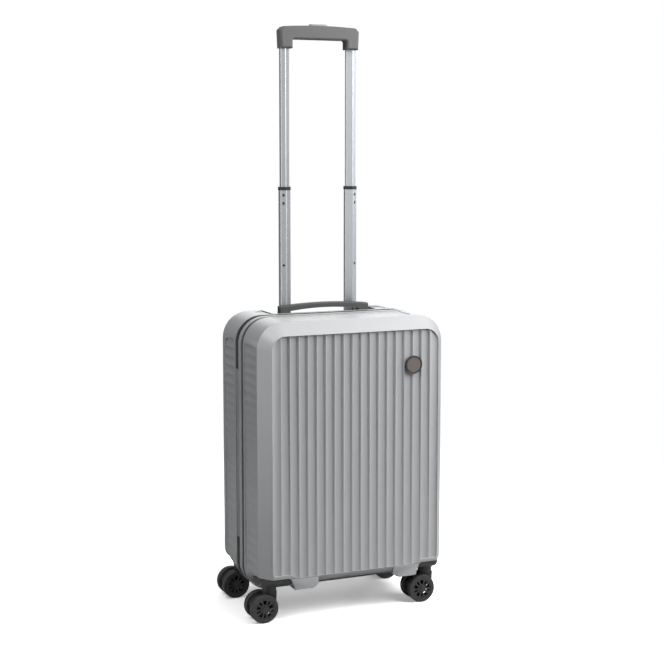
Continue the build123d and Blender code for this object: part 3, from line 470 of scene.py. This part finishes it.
def rimLine(start, end):  # from the left side at start, over the top and round to the left side at end
    w, low, high = rim["halfWidth"], rim["low"], rim["high"]
    top, foot = rim["topRadius"], rim["lowRadius"]
    corners = [(-w + top, high - top, top, 180), (w - top, high - top, top, 90),
               (w - foot, low + foot, foot, 0), (-w + foot, low + foot, foot, -90)]
    line = [Vector((-w, 0, start))]
    for x, z, radius, first in corners:
        for n in range(rim["arcSteps"] + 1):
            angle = math.radians(first - 90 * n / rim["arcSteps"])
            line.append(Vector((x + radius * math.cos(angle), 0, z + radius * math.sin(angle))))
    return line + [Vector((-w, 0, end))]


def rimOut(along):
    return Vector((-along.z, 0, along.x))


def rimSweep(bm, stations, profile, loop=False):  # profile points are (depth, height above the rim line)
    rings = []
    for point, along in stations:
        out = rimOut(along)
        rings.append([bm.verts.new((point.x + out.x * h, y, point.z + out.z * h)) for y, h in profile])
    bridge(bm, rings, loop)


# front shell and its wheel mounts with the flat sloped frame that runs round the fluted panel

slopedFrame = {
    "halfWidth": 0.1775, "high": 0.530, "corner": 0.048, "face": -0.114, "radius": 0.020,
    "run": 0.026, "lip": 0.001, "side": 0.018, "top": 0.022, "turn": 6, "past": 0.0002,
    "skin": 0.0015, "lag": 0.0044, "flutes": -0.021, "rim": -0.0079, "newRim": -0.015, "sharp": 28,
    "copies": {"front_shell": "frontShell", "wheel_mount_front_left": "mountFrontLeft",
               "wheel_mount_front_right": "mountFrontRight"},
}


def frameInset(s, x, z):  # distance in from the sides and top, and the width of the slope there
    across, up = abs(x) - s["halfWidth"] + s["corner"], z - s["high"] + s["corner"]
    if across > 0 and up > 0:
        reach = math.hypot(across, up)
        return s["corner"] - reach, s["side"] + (s["top"] - s["side"]) * (up / reach) ** s["turn"]
    if s["halfWidth"] - abs(x) < s["high"] - z:
        return s["halfWidth"] - abs(x), s["side"]
    return s["high"] - z, s["top"]


def makeSloped(s):
    squeeze = (s["newRim"] - s["flutes"]) / (s["rim"] - s["flutes"])
    for node, name in s["copies"].items():
        bm = bmesh.new()
        bm.from_mesh(nodes[node].data)
        bmesh.ops.remove_doubles(bm, verts=bm.verts, dist=weld)
        for vert in bm.verts:
            x, y, z = vert.co
            inset, width = frameInset(s, x, z)
            back = y - s["face"]
            deep = min(inset, back)
            if max(inset, back) < s["radius"]:
                deep = s["radius"] - math.hypot(s["radius"] - inset, s["radius"] - back)
            slope = s["lip"] + (s["run"] - s["lip"]) * (1 - inset / width)
            if deep > s["skin"]:  # the inner skin stays behind the outer one
                slope += s["lag"]
            if inset < width + s["past"]:
                vert.co.y = s["face"] + max(back, slope)
            if s["flutes"] < y < s["rim"]:
                vert.co.y = s["flutes"] + (y - s["flutes"]) * squeeze
        piece = addPiece(name, bm, list(nodes[node].data.materials), "front_half", s["sharp"])
        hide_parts(node)


makeSloped(slopedFrame)
print("front shell: sloped frame")


# low sill beside each front wheel, just behind the panel's face

sill = {
    "outline": [(0.0735, 0.0782), (0.1245, 0.0782), (0.1240, 0.0765), (0.1192, 0.0665), (0.1190, 0.0605),
                (0.1165, 0.0580), (0.0840, 0.0580), (0.0805, 0.0594), (0.0730, 0.0672)],
    "back": 0.092, "front": 0.1128, "edge": 0.0014,
    "bevel": [(1.0, 0.0), (0.4, 0.4), (0.0, 1.0)],  # shares of the edge, down from the front and inward
}


def makeSill(s):
    middle = [sum(p[n] for p in s["outline"]) / len(s["outline"]) for n in (0, 1)]
    levels = [(s["back"], 0.0)] + [(s["front"] - s["edge"] * down, inward) for down, inward in s["bevel"]]
    bm = bmesh.new()
    for side in (-1, 1):
        rings = []
        for lift, inward in levels:
            ring = []
            for x, z in s["outline"]:
                cut = Vector((middle[0] - x, middle[1] - z)).normalized() * s["edge"] * inward
                ring.append((side * (x + cut.x), z + cut.y))
            rings.append((ring, lift))
        stack(bm, facing(Vector((0, 0, 0)), (0, -1, 0)), rings)
    addPiece("frontSills", bm, [finishes["shell"]], "front_half")


makeSill(sill)
print("sills: two")


# zipper halves: woven tape, sewing, and the coil's teeth

zipper = {
    "split": 0.017, "gap": 0.00015, "step": 0.004,
    "under": -0.0017, "edge": -0.0010, "seam": -0.0007, "face": -0.0006, "foot": -0.0004, "crown": -0.00025,
    "section": [(0.0, "under"), (0.0, "face"), (0.0002, "foot"), (0.0005, "crown"), (0.0018, "crown"),
                (0.0022, "foot"), (0.0025, "face"), (0.0050, "face"), (0.0056, "seam"), (0.0064, "seam"),
                (0.0070, "face"), (0.0075, "seam"), (0.0078, "edge"), (0.0078, "under")],
    "pitch": 0.0017, "tooth": (0.0020, 0.00095, 0.00095 / 2.1), "tip": (0.0016, 0.000475, 0.00019),
    "toothIn": 0.0001, "toothLifts": (-0.0004, -0.00027, -0.00012), "lean": 0.0006,
    "sewAt": 0.0060, "stitch": (0.0021, 0.0006, 0.0002), "sewPitch": 0.0032,
}


def makeZipper(name, toward, body, node):  # toward is -1 for the half that goes with the front
    p = zipper
    near = p["split"] + toward * p["gap"]
    low, high = rim["hinge"]
    line = rimLine(high, low)
    bm = bmesh.new()
    profile = [(near + toward * depth, p[height]) for depth, height in p["section"]]
    rimSweep(bm, evenTrack(line, p["step"]), profile)
    length = p["tooth"][0]
    for point, along in evenTrack(line, p["pitch"])[1:-1]:
        out = rimOut(along)
        middle = point + Vector((0, near + toward * (p["toothIn"] + length / 2), 0))
        reach = (Vector((0, 1, 0)) * length + along * p["lean"] * toward).normalized()
        pad(bm, axesAt(middle, reach, out.cross(reach), out), p["tooth"], p["tip"], p["toothLifts"], 1, 3)
    for point, along in evenTrack(line, p["sewPitch"])[1:-1]:
        out = rimOut(along)
        spot = point + Vector((0, near + toward * p["sewAt"], 0)) + out * p["face"]
        sewStitch(bm, spot, along, out, p["stitch"], 1)
    piece = addPiece(name, bm, [finishes["zipper"], trims["coil"]], body)
    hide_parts(node)


makeZipper("zipFront", -1, "front_half", "front_zipper")
makeZipper("zipBack", 1, "back_half", "back_zipper")
print("zipper: two halves")


# dark rubber strip in the groove between the front shell and the band: painted shade that stands in for the
# groove's shadow

paintedShade = {
    "front": -0.0148, "back": -0.0052, "floor": -0.0022, "ridge": -0.0008, "dip": -0.0015, "step": 0.004,
    "section": [(0.0, "floor"), (0.0, "dip"), (0.08, "ridge"), (0.30, "ridge"), (0.40, "dip"),
                (0.60, "dip"), (0.70, "ridge"), (0.92, "ridge"), (1.0, "dip"), (1.0, "floor")],
}


def makeSeal(s):
    span = s["back"] - s["front"]
    middle = (rim["low"] + rim["high"]) / 2
    stations = evenTrack(rimLine(middle, middle), s["step"])[:-1]
    bm = bmesh.new()
    profile = [(s["front"] + span * share, s[height]) for share, height in s["section"]]
    rimSweep(bm, stations, profile, loop=True)
    # the strip's near-black colour is painted shade for the groove
    addPiece("grooveShadeStrip", bm, [trims["paintedShade"]], "front_half")


makeSeal(paintedShade)
print("seal: one ring")


# hinge tape on the left side, sewn along both edges

hingeTape = {
    "front": 0.0094, "back": 0.0246, "face": -0.1770, "under": -0.1756, "endGap": 0.0004,
    "rows": 16, "columns": 80, "bow": 0.00025, "ripple": 0.00006, "rippleRates": (90, 60), "rippleSeed": 2,
    "roll": 0.0004, "rollPower": 12, "pucker": 0.00012, "puckerReach": 0.0005,
    "sewIn": 0.0022, "sewPitch": 0.0034, "stitch": (0.0024, 0.0006, 0.0002),
}


def makeHingeTape(h):
    low, high = rim["hinge"][0] + h["endGap"], rim["hinge"][1] - h["endGap"]
    width = h["back"] - h["front"]
    rateY, rateZ = h["rippleRates"]
    bm = bmesh.new()
    rings = []
    for n in range(h["columns"] + 1):
        z = low + (high - low) * n / h["columns"]
        outer, inner = [], []
        for m in range(h["rows"] + 1):
            t = m / h["rows"]
            y = h["front"] + width * t
            ripple = h["ripple"] * noise.noise(Vector((y * rateY, z * rateZ, h["rippleSeed"])))
            puff = h["bow"] * math.sin(math.pi * t) ** 2 + ripple
            roll = h["roll"] * abs(2 * t - 1) ** h["rollPower"]
            seamward = min(t, 1 - t) * width - h["sewIn"]
            pucker = h["pucker"] * math.exp(-(seamward / h["puckerReach"]) ** 2)
            outer.append(bm.verts.new((h["face"] - puff + roll + pucker, y, z)))
            inner.append(bm.verts.new((h["under"], y, z)))
        rings.append(outer + inner[::-1])
    bridge(bm, rings)
    for y in (h["front"] + h["sewIn"], h["back"] - h["sewIn"]):
        line = [Vector((h["face"], y, low)), Vector((h["face"], y, high))]
        sewRow(bm, evenTrack(line, h["sewPitch"]), Vector((-1, 0, 0)), h["stitch"], 1)
    piece = addPiece("hingeTape", bm, [finishes["hinge_tape"], trims["thread"]], None)
    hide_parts("hinge_strip")
    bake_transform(piece)


makeHingeTape(hingeTape)
print("hinge tape: sewn strip")


# lining: the panel over the poles and the one that closes the front half

liningPanel = {
    "name": "liningPanel", "node": "lining_board", "body": "back_half", "halfWidth": 0.1713, "low": 0.0882,
    "high": 0.4856, "lowRadius": 0.022, "topRadius": 0.022, "face": 0.0507, "back": 0.0519, "out": -1,
    "rests": ["pole_foot", "handle_tray"], "seed": 4.0, "crease": 0.0006,
}
dividerPanel = {
    "name": "dividerPanel", "node": "divider", "body": "front_half", "halfWidth": 0.1713, "low": 0.0422,
    "high": 0.5238, "lowRadius": 0.039, "topRadius": 0.042, "face": -0.0077, "back": -0.0089, "out": 1,
    "rests": ["front_shell"], "seed": 11.0, "crease": 0.0007,
}
drape = {"cornerRows": 10, "rows": 60, "columns": 52, "tightRim": 0.03, "slack": 0.6, "broad": (9, 6),
         "fine": (26, 17), "fineShare": 0.5, "sharp": 60}
edging = {"radius": 0.0016, "inset": 0.0022, "lift": 0.0004, "sides": 10, "step": 0.005, "arcSteps": 12,
          "sewInset": 0.0062, "sewLift": 0.0002, "sewPitch": 0.0045, "stitch": (0.0028, 0.0007, 0.0003)}


def panelLine(p, inset, lift):  # closed line round a panel, above its face
    w, low, high = p["halfWidth"] - inset, p["low"] + inset, p["high"] - inset
    line = []
    for sx, sz, first in ((1, 1, 0), (-1, 1, 90), (-1, -1, 180), (1, -1, 270)):
        radius = (p["topRadius"] if sz > 0 else p["lowRadius"]) - inset
        edge = high - radius if sz > 0 else low + radius
        for n in range(edging["arcSteps"] + 1):
            angle = math.radians(first + 90 * n / edging["arcSteps"])
            x = sx * (w - radius) + radius * math.cos(angle)
            line.append(Vector((x, p["face"] + p["out"] * lift, edge + radius * math.sin(angle))))
    return line + line[:1]


def panelRows(p):  # heights of a panel's rows, closer together at its corners
    low, high, foot, top = p["low"], p["high"], p["lowRadius"], p["topRadius"]
    corner, count = drape["cornerRows"], drape["rows"]
    rows = [low + foot * (1 - math.cos(math.pi / 2 * n / corner)) for n in range(corner)]
    rows += [low + foot + (high - top - low - foot) * n / count for n in range(count + 1)]
    return rows + [high - top * (1 - math.sin(math.pi / 2 * n / corner)) for n in range(1, corner + 1)]


def crease(p, x, z):
    folds = []
    for rateX, rateZ in (drape["broad"], drape["fine"]):
        folds.append(noise.noise(Vector((x * rateX, z * rateZ, p["seed"]))))
    return drape["slack"] + folds[0] + drape["fineShare"] * folds[1]


def sewPiping(p):
    out = Vector((0, p["out"], 0))
    bm = bmesh.new()
    rings = []
    for point, along in evenTrack(panelLine(p, edging["inset"], edging["lift"]), edging["step"])[:-1]:
        side = along.cross(out)
        rings.append([bm.verts.new(point + edging["radius"] * (math.cos(a) * out + math.sin(a) * side))
                      for a in (2 * math.pi * n / edging["sides"] for n in range(edging["sides"]))])
    bridge(bm, rings, loop=True)
    seam = evenTrack(panelLine(p, edging["sewInset"], edging["sewLift"]), edging["sewPitch"])
    sewRow(bm, seam, out, edging["stitch"], 1)
    return addPiece(p["name"] + "Piping", bm, [trims["webbing"], trims["thread"]], p["body"])


def makePanel(p):
    w, low, high = p["halfWidth"], p["low"], p["high"]
    bm = bmesh.new()
    rings = []
    for z in panelRows(p):
        radius = p["topRadius"] if z > high - p["topRadius"] else p["lowRadius"]
        deep = max(0.0, z - high + p["topRadius"], low + p["lowRadius"] - z)
        half = w - radius + math.sqrt(max(0.0, radius ** 2 - deep ** 2))
        face, back = [], []
        for n in range(drape["columns"] + 1):
            x = half * (2 * n / drape["columns"] - 1)
            rimward = max(0.0, min(half - abs(x), z - low, high - z))
            loose = min(1.0, rimward / drape["tightRim"])
            face.append(bm.verts.new((x, p["face"] + p["out"] * p["crease"] * loose * crease(p, x, z), z)))
            back.append(bm.verts.new((x, p["back"], z)))
        rings.append(face + back[::-1])
    bridge(bm, rings)
    panel = addPiece(p["name"], bm, [finishes["lining"]], p["body"], drape["sharp"])
    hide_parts(p["node"])
    piping = sewPiping(p)


makePanel(liningPanel)
makePanel(dividerPanel)
print("lining: two sewn panels with piping")


# zipped pocket in the divider

pocket = {
    "height": 0.372, "face": -0.0075, "top": -0.0066,
    "tape": (0.236, 0.024, 0.004), "tapeCrown": (0.2344, 0.0224, 0.0034),
    "tapeLifts": (-0.0002, 0.00063, 0.0009),
    "tooth": (0.0013, 0.0030, 0.0013 / 2.2), "tip": (0.00078, 0.0024, 0.00026),
    "toothLifts": (-0.0002, 0.00049, 0.0007), "toothRun": 0.112, "toothShift": 0.0009, "pitch": 0.0024,
    "sewRun": 0.114, "sewAt": 0.0095, "sewPitch": 0.0045,
}
runner = {
    "x": -0.104, "base": (0.012, 0.0085, 0.002), "crown": (0.00984, 0.0068, 0.0016),
    "lifts": (0.0003, 0.0021, 0.0030), "pullAt": (0.010, 0, 0.0032), "pull": (0.026, 0.0055, 0.0026),
    "pullCrown": (0.024, 0.0040, 0.0019), "pullLifts": (0, 0.0009, 0.0013),
}


def makePocket(p):
    out = Vector((0, 1, 0))
    bm = bmesh.new()
    pad(bm, facing(Vector((0, p["face"], p["height"])), out), p["tape"], p["tapeCrown"], p["tapeLifts"])
    line = [Vector((s * p["toothRun"], p["top"], p["height"])) for s in (-1, 1)]
    for n, (point, _) in enumerate(evenTrack(line, p["pitch"])):
        shift = Vector((0, 0, p["toothShift"] if n % 2 else -p["toothShift"]))
        pad(bm, facing(point + shift, out), p["tooth"], p["tip"], p["toothLifts"], 1, 3)
    for side in (-1, 1):
        line = [Vector((s * p["sewRun"], p["top"], p["height"] + side * p["sewAt"])) for s in (-1, 1)]
        sewRow(bm, evenTrack(line, p["sewPitch"]), out, edging["stitch"], 2)
    addPiece("pocketZip", bm, [finishes["zipper"], trims["coil"], trims["thread"]], "front_half")


def makeRunner(r):
    bm = bmesh.new()
    spot = facing(Vector((r["x"], pocket["top"], pocket["height"])), (0, 1, 0))
    pad(bm, spot, r["base"], r["crown"], r["lifts"])
    pad(bm, spot @ Matrix.Translation(r["pullAt"]), r["pull"], r["pullCrown"], r["pullLifts"])
    addPiece("pocketRunner", bm, [finishes["slider"]], "front_half")


makePocket(pocket)
makeRunner(runner)
print("pocket: zip and runner")


# crossed packing straps in the back half, with a buckle

straps = {
    "width": 0.025, "thick": 0.0014, "face": 0.0498, "foot": (0.138, 0.112), "head": (0.138, 0.462),
    "steps": 90, "rise": 0.0017, "riseReach": 0.03, "ripple": 0.00025, "rippleRate": 0.9,
    "section": [(-1, 0.3), (-0.94, 0.0), (-0.9, 0.1), (0, 0.12), (0.9, 0.1), (0.94, 0.0), (1, 0.3)],
    "tacks": (0.006, 0.026), "tackHalf": 0.010, "tackPitch": 0.004,
}


def makeStrap(name, side, lifted):  # lifted is 1 for the strap that crosses over the other
    s = straps
    a = Vector((side * s["foot"][0], 0, s["foot"][1]))
    b = Vector((-side * s["head"][0], 0, s["head"][1]))
    length = (b - a).length
    along = (b - a).normalized()
    across = along.cross(Vector((0, 1, 0)))
    bm = bmesh.new()
    rings = []
    for n in range(s["steps"] + 1):
        point = a.lerp(b, n / s["steps"])
        rise = math.exp(-((n / s["steps"] - 0.5) * length / s["riseReach"]) ** 2)
        y = s["face"] - lifted * s["rise"] * rise - s["ripple"] * abs(math.sin(n * s["rippleRate"]))
        profile = [(t, y - s["thick"] * (1 - dip)) for t, dip in s["section"]] + [(1, y), (0, y), (-1, y)]
        spots = [point + across * t * s["width"] / 2 + Vector((0, h, 0)) for t, h in profile]
        rings.append([bm.verts.new(spot) for spot in spots])
    bridge(bm, rings)
    for end, way in ((a, 1), (b, -1)):
        for tack in s["tacks"]:
            middle = end + along * way * tack + Vector((0, s["face"] - s["thick"], 0))
            line = [middle - across * s["tackHalf"], middle + across * s["tackHalf"]]
            sewRow(bm, evenTrack(line, s["tackPitch"]), Vector((0, -1, 0)), edging["stitch"], 1)
    piece = addPiece(name, bm, [trims["webbing"], trims["thread"]], "back_half")


buckle = {
    "y": 0.0464, "width": 0.056, "height": 0.044,
    "rings": [(0, 0.009, 0), (0, 0.009, 0.0048), (0.003, 0.008, 0.0072), (0.008, 0.006, 0.008),
              (0.014, 0.005, 0.00656)],  # cut from the size, corner radius, lift
    "tabAt": (0.027, 0.0012), "tab": (0.007, 0.018, 0.003), "tabCrown": (0.005, 0.016, 0.002),
    "tabLifts": (0, 0.0028, 0.0036),
}


def makeBuckle(p):
    bm = bmesh.new()
    middle = (straps["foot"][1] + straps["head"][1]) / 2
    spot = facing(Vector((0, p["y"], middle)), (0, -1, 0))
    rings = []
    for cut, radius, lift in p["rings"]:
        rings.append((roundedBox(p["width"] - cut, p["height"] - cut, radius), lift))
    stack(bm, spot, rings)
    x, lift = p["tabAt"]
    for side in (-1, 1):
        pad(bm, spot @ Matrix.Translation((side * x, 0, lift)), p["tab"], p["tabCrown"], p["tabLifts"])
    addPiece("strapBuckle", bm, [finishes["black_plastic"]], "back_half")


makeStrap("strapRising", -1, 0)
makeStrap("strapFalling", 1, 1)
makeBuckle(buckle)
print("straps: two and a buckle")


# dark rubber pieces, a plate and a raised block behind each window of the middle poles and a plug in each
# pin hole: painted shade, so the openings show dark

windowShade = {
    "poleX": 0.065, "poleY": 0.067, "ridge": 0.001, "half": 0.0105, "front": -0.009, "shoulder": 0.005,
    "heights": (0.743, 0.728), "plate": (0.0064, 0.0074, 0.001), "plateLifts": (-0.0018, -0.0014),
    "knob": (0.0044, 0.0052, 0.0007), "knobTip": (0.0036, 0.0044, 0.0007),
    "knobLifts": (-0.0015, -0.0008, -0.0005), "pinHeight": 0.6145, "pinRadius": 0.0019,
    "pinTip": 0.00133, "pinSides": 20,
}


def makeLatches(p):
    run = p["half"] - p["ridge"]
    plate = roundedBox(*p["plate"])
    knob, knobTip = (roundedBox(*p[key]) for key in ("knob", "knobTip"))
    pin, pinTip = (lobedRing(p[key], count=p["pinSides"]) for key in ("pinRadius", "pinTip"))
    fills = [(height, knob, knobTip) for height in p["heights"]] + [(p["pinHeight"], pin, pinTip)]
    for side, name in ((-1, "windowShadesLeft"), (1, "windowShadesRight")):
        x, y = side * (p["poleX"] + p["ridge"] + run / 2), p["poleY"] + p["front"] + p["shoulder"] / 2
        bm = bmesh.new()
        for height, foot, tip in fills:
            spot = facing(Vector((x, y, height)), (side * p["shoulder"], -run, 0))
            stack(bm, spot, zip((plate, plate), p["plateLifts"]))
            stack(bm, spot, zip((foot, foot, tip), p["knobLifts"]))
        # painted shade: dark rubber sitting below the surface inside the openings
        addPiece(name, bm, [trims["paintedShade"]], "middle_stage")


makeLatches(windowShade)
print("latches: six")


# screws under the wheel mounts, pins through the carry handle's blocks

screws = {
    "x": 0.127, "y": (0.060, 0.090), "z": 0.066, "radius": 0.0034,
    "rings": [(1.0, 0.0, -0.0004), (1.0, 0.0, 0.0006), (0.86, 0.0, 0.0011), (0.5, 0.16, 0.0013),
              (0.46, 0.16, 0.0012), (0.30, 0.12, 0.0003)],
}
pins = {
    "x": (0.088, 0.068), "y": 0.042, "z": 0.5358, "radius": 0.0026,
    "rings": [(1.0, 0.0, -0.0005), (1.0, 0.0, 0.0003), (0.9, 0.0, 0.0005), (0.72, 0.0, 0.0005),
              (0.62, 0.0, 0.0001)],
}


def makeScrews(p):
    for half, end, body in ((-1, "Front", "front_half"), (1, "Back", "back_half")):
        bm = bmesh.new()
        for side in (-1, 1):
            for y in p["y"]:
                spot = facing(Vector((side * p["x"], half * y, p["z"])), (0, 0, -1), (0, 1, 0))
                turned(bm, spot, p["radius"], p["rings"])
        addPiece("mountScrews" + end, bm, [finishes["steel"]], body)


def makePins(p):
    bm = bmesh.new()
    for side in (-1, 1):
        for x, way in zip(p["x"], (1, -1)):
            spot = facing(Vector((side * x, p["y"], p["z"])), (side * way, 0, 0))
            turned(bm, spot, p["radius"], p["rings"])
    addPiece("carryPins", bm, [finishes["black_plastic"]], "carry")


makeScrews(screws)
makePins(pins)
print("fixings: eight screws, four pins")


# numbers on the lock's dials

numbers = {"x": 0.1739, "y": -0.02675, "heights": (0.301, 0.310, 0.319), "radius": 0.00695, "size": 0.0036,
           "proud": 0.00010, "figures": 10}


def makeNumbers(p):
    for n, height in enumerate(p["heights"], start=1):
        bm = bmesh.new()
        for figure in range(p["figures"]):
            text = bpy.data.curves.new("figure", "FONT")
            text.body = str(figure)
            text.size = p["size"]
            text.extrude = p["proud"]
            text.align_x = "CENTER"
            text.align_y = "CENTER"
            shape = bpy.data.objects.new("figure", text)
            mesh = bpy.data.meshes.new_from_object(shape)
            turn = 2 * math.pi * figure / p["figures"]
            out = Vector((math.cos(turn), math.sin(turn), 0))
            mesh.transform(facing(Vector((p["x"], p["y"], height)) + out * p["radius"], out))
            bm.from_mesh(mesh)
            bpy.data.meshes.remove(mesh)
            bpy.data.objects.remove(shape)
            bpy.data.curves.remove(text)
        addPiece(f"dialNumbers{n}", bm, [trims["paint"]], f"dial_{n}")


makeNumbers(numbers)
print("numbers: three dials")


# camera at the photograph's angle

photoView = {"place": (-0.9918, -2.3636, 0.8344), "yaw": 0.3972, "pitch": 0.1128,
             "sensor": 36, "lens": 76.907, "shift": -0.04}


def setCamera(view):
    data = bpy.data.cameras.new("photoCamera")
    data.sensor_width = view["sensor"]
    data.lens = view["lens"]
    data.shift_y = view["shift"]
    camera = bpy.data.objects.new("photoCamera", data)
    camera.location = view["place"]
    camera.rotation_euler = (math.pi / 2 - view["pitch"], 0, -view["yaw"])
    bpy.context.scene.collection.objects.link(camera)
    bpy.context.scene.camera = camera


setCamera(photoView)
print("camera: set")


# studio: white floor and backdrop, soft boxes

white = (1, 1, 1)
studio = {
    "floorSize": 6.0, "floorCells": 8, "floorFade": (0.75, 1.55), "floorLift": 0.28, "floorGain": 1.6,
    "bounce": 0.14, "paper": (0.90, 0.92), "paperGrain": 0.05, "ambient": 0.07,
    "roomFront": 0.72, "roomBack": 0.14, "roomTurn": (-0.6, 0.3),
    "roomLeft": 2.8, "leftTurn": (0.75, 1.0),
    "boxes": [  # name, place, size, watts
        ("keyBox", (0.88, -0.78, 1.20), (1.0, 1.0), 27),
        ("topBox", (-0.05, -0.3, 2.3), (2.0, 2.0), 12),
        ("leftBox", (-1.15, -0.35, 1.75), (0.8, 0.8), 11),
        ("backBox", (0.7, 2.0, 1.3), (1.6, 1.6), 14),
    ],
    "target": (0.0, 0.0, 0.35),
}


def lightRoom(s):
    f = Finish("studio", world=True)
    bpy.context.scene.world = f.owner
    rays = f.rays()
    x, y, _ = f.axes(f.node("ShaderNodeTexCoord", out="Generated"))
    front = (0 - y).between(*s["roomTurn"])  # polished parts mirror a bright room in front
    room = f.tone(front, white, (s["roomBack"], s["roomFront"]))
    left = (0 - x).between(*s["leftTurn"])  # and a bright panel at its left
    room = f.tint(left, room, shade(white, s["roomLeft"]))
    mirrored = f.node("ShaderNodeBackground", {}, {"Color": room})
    backdrop = f.node("ShaderNodeBackground", {}, {"Color": shade(white, 1)})
    fill = f.node("ShaderNodeBackground", {}, {"Color": shade(white, 1), "Strength": s["ambient"]})
    mix = f.node("ShaderNodeMixShader", {}, {0: rays["Is Glossy Ray"], 1: fill, 2: mirrored})
    seen = rays["Is Camera Ray"] + rays["Is Transmission Ray"]
    f.close(f.node("ShaderNodeMixShader", {}, {0: seen, 1: mix, 2: backdrop}), "ShaderNodeOutputWorld")
    for name, place, size, watts in s["boxes"]:
        data = bpy.data.lights.new(name, "AREA")
        data.shape = "RECTANGLE"
        data.size, data.size_y = size
        data.energy = watts
        lamp = bpy.data.objects.new(name, data)
        lamp.location = place
        lamp.rotation_euler = (Vector(s["target"]) - Vector(place)).to_track_quat("-Z", "Y").to_euler()
        bpy.context.scene.collection.objects.link(lamp)


def layFloor(s):
    f = Finish("studioFloor")
    at = f.place()
    far = f.node("ShaderNodeVectorMath", {"operation": "LENGTH"}, {0: at}, "Value")
    rays = f.rays()
    pale = f.tone(f.speckle(at, s["paperGrain"]), white, s["paper"])
    paper = f.node("ShaderNodeBsdfDiffuse", {}, {"Color": pale})
    lift = f.node("ShaderNodeEmission", {}, {"Strength": s["floorLift"]})
    bright = f.node("ShaderNodeBsdfDiffuse", {}, {"Color": shade(white, s["floorGain"])})
    lit = f.node("ShaderNodeAddShader", {}, {0: bright, 1: lift})
    dim = f.node("ShaderNodeBsdfDiffuse", {}, {"Color": shade(white, s["bounce"])})
    mirrored = rays["Is Glossy Ray"] + rays["Is Transmission Ray"]
    shown = f.node("ShaderNodeMixShader", {}, {0: mirrored, 1: dim, 2: paper})
    shown = f.node("ShaderNodeMixShader", {}, {0: rays["Is Camera Ray"], 1: shown, 2: lit})
    clear = f.node("ShaderNodeBsdfTransparent")
    f.close(f.node("ShaderNodeMixShader", {}, {0: far.between(*s["floorFade"]), 1: shown, 2: clear}))
    bm = bmesh.new()
    cells = s["floorCells"]
    bmesh.ops.create_grid(bm, x_segments=cells, y_segments=cells, size=s["floorSize"] / 2)
    mesh = bpy.data.meshes.new("studioFloor")
    bm.to_mesh(mesh)
    bm.free()
    mesh.materials.append(f.owner)
    floor = bpy.data.objects.new("studioFloor", mesh)
    bpy.context.scene.collection.objects.link(floor)


lightRoom(studio)
layFloor(studio)
bpy.context.scene.view_settings.view_transform = "Standard"
print("studio:", len(studio["boxes"]), "boxes")
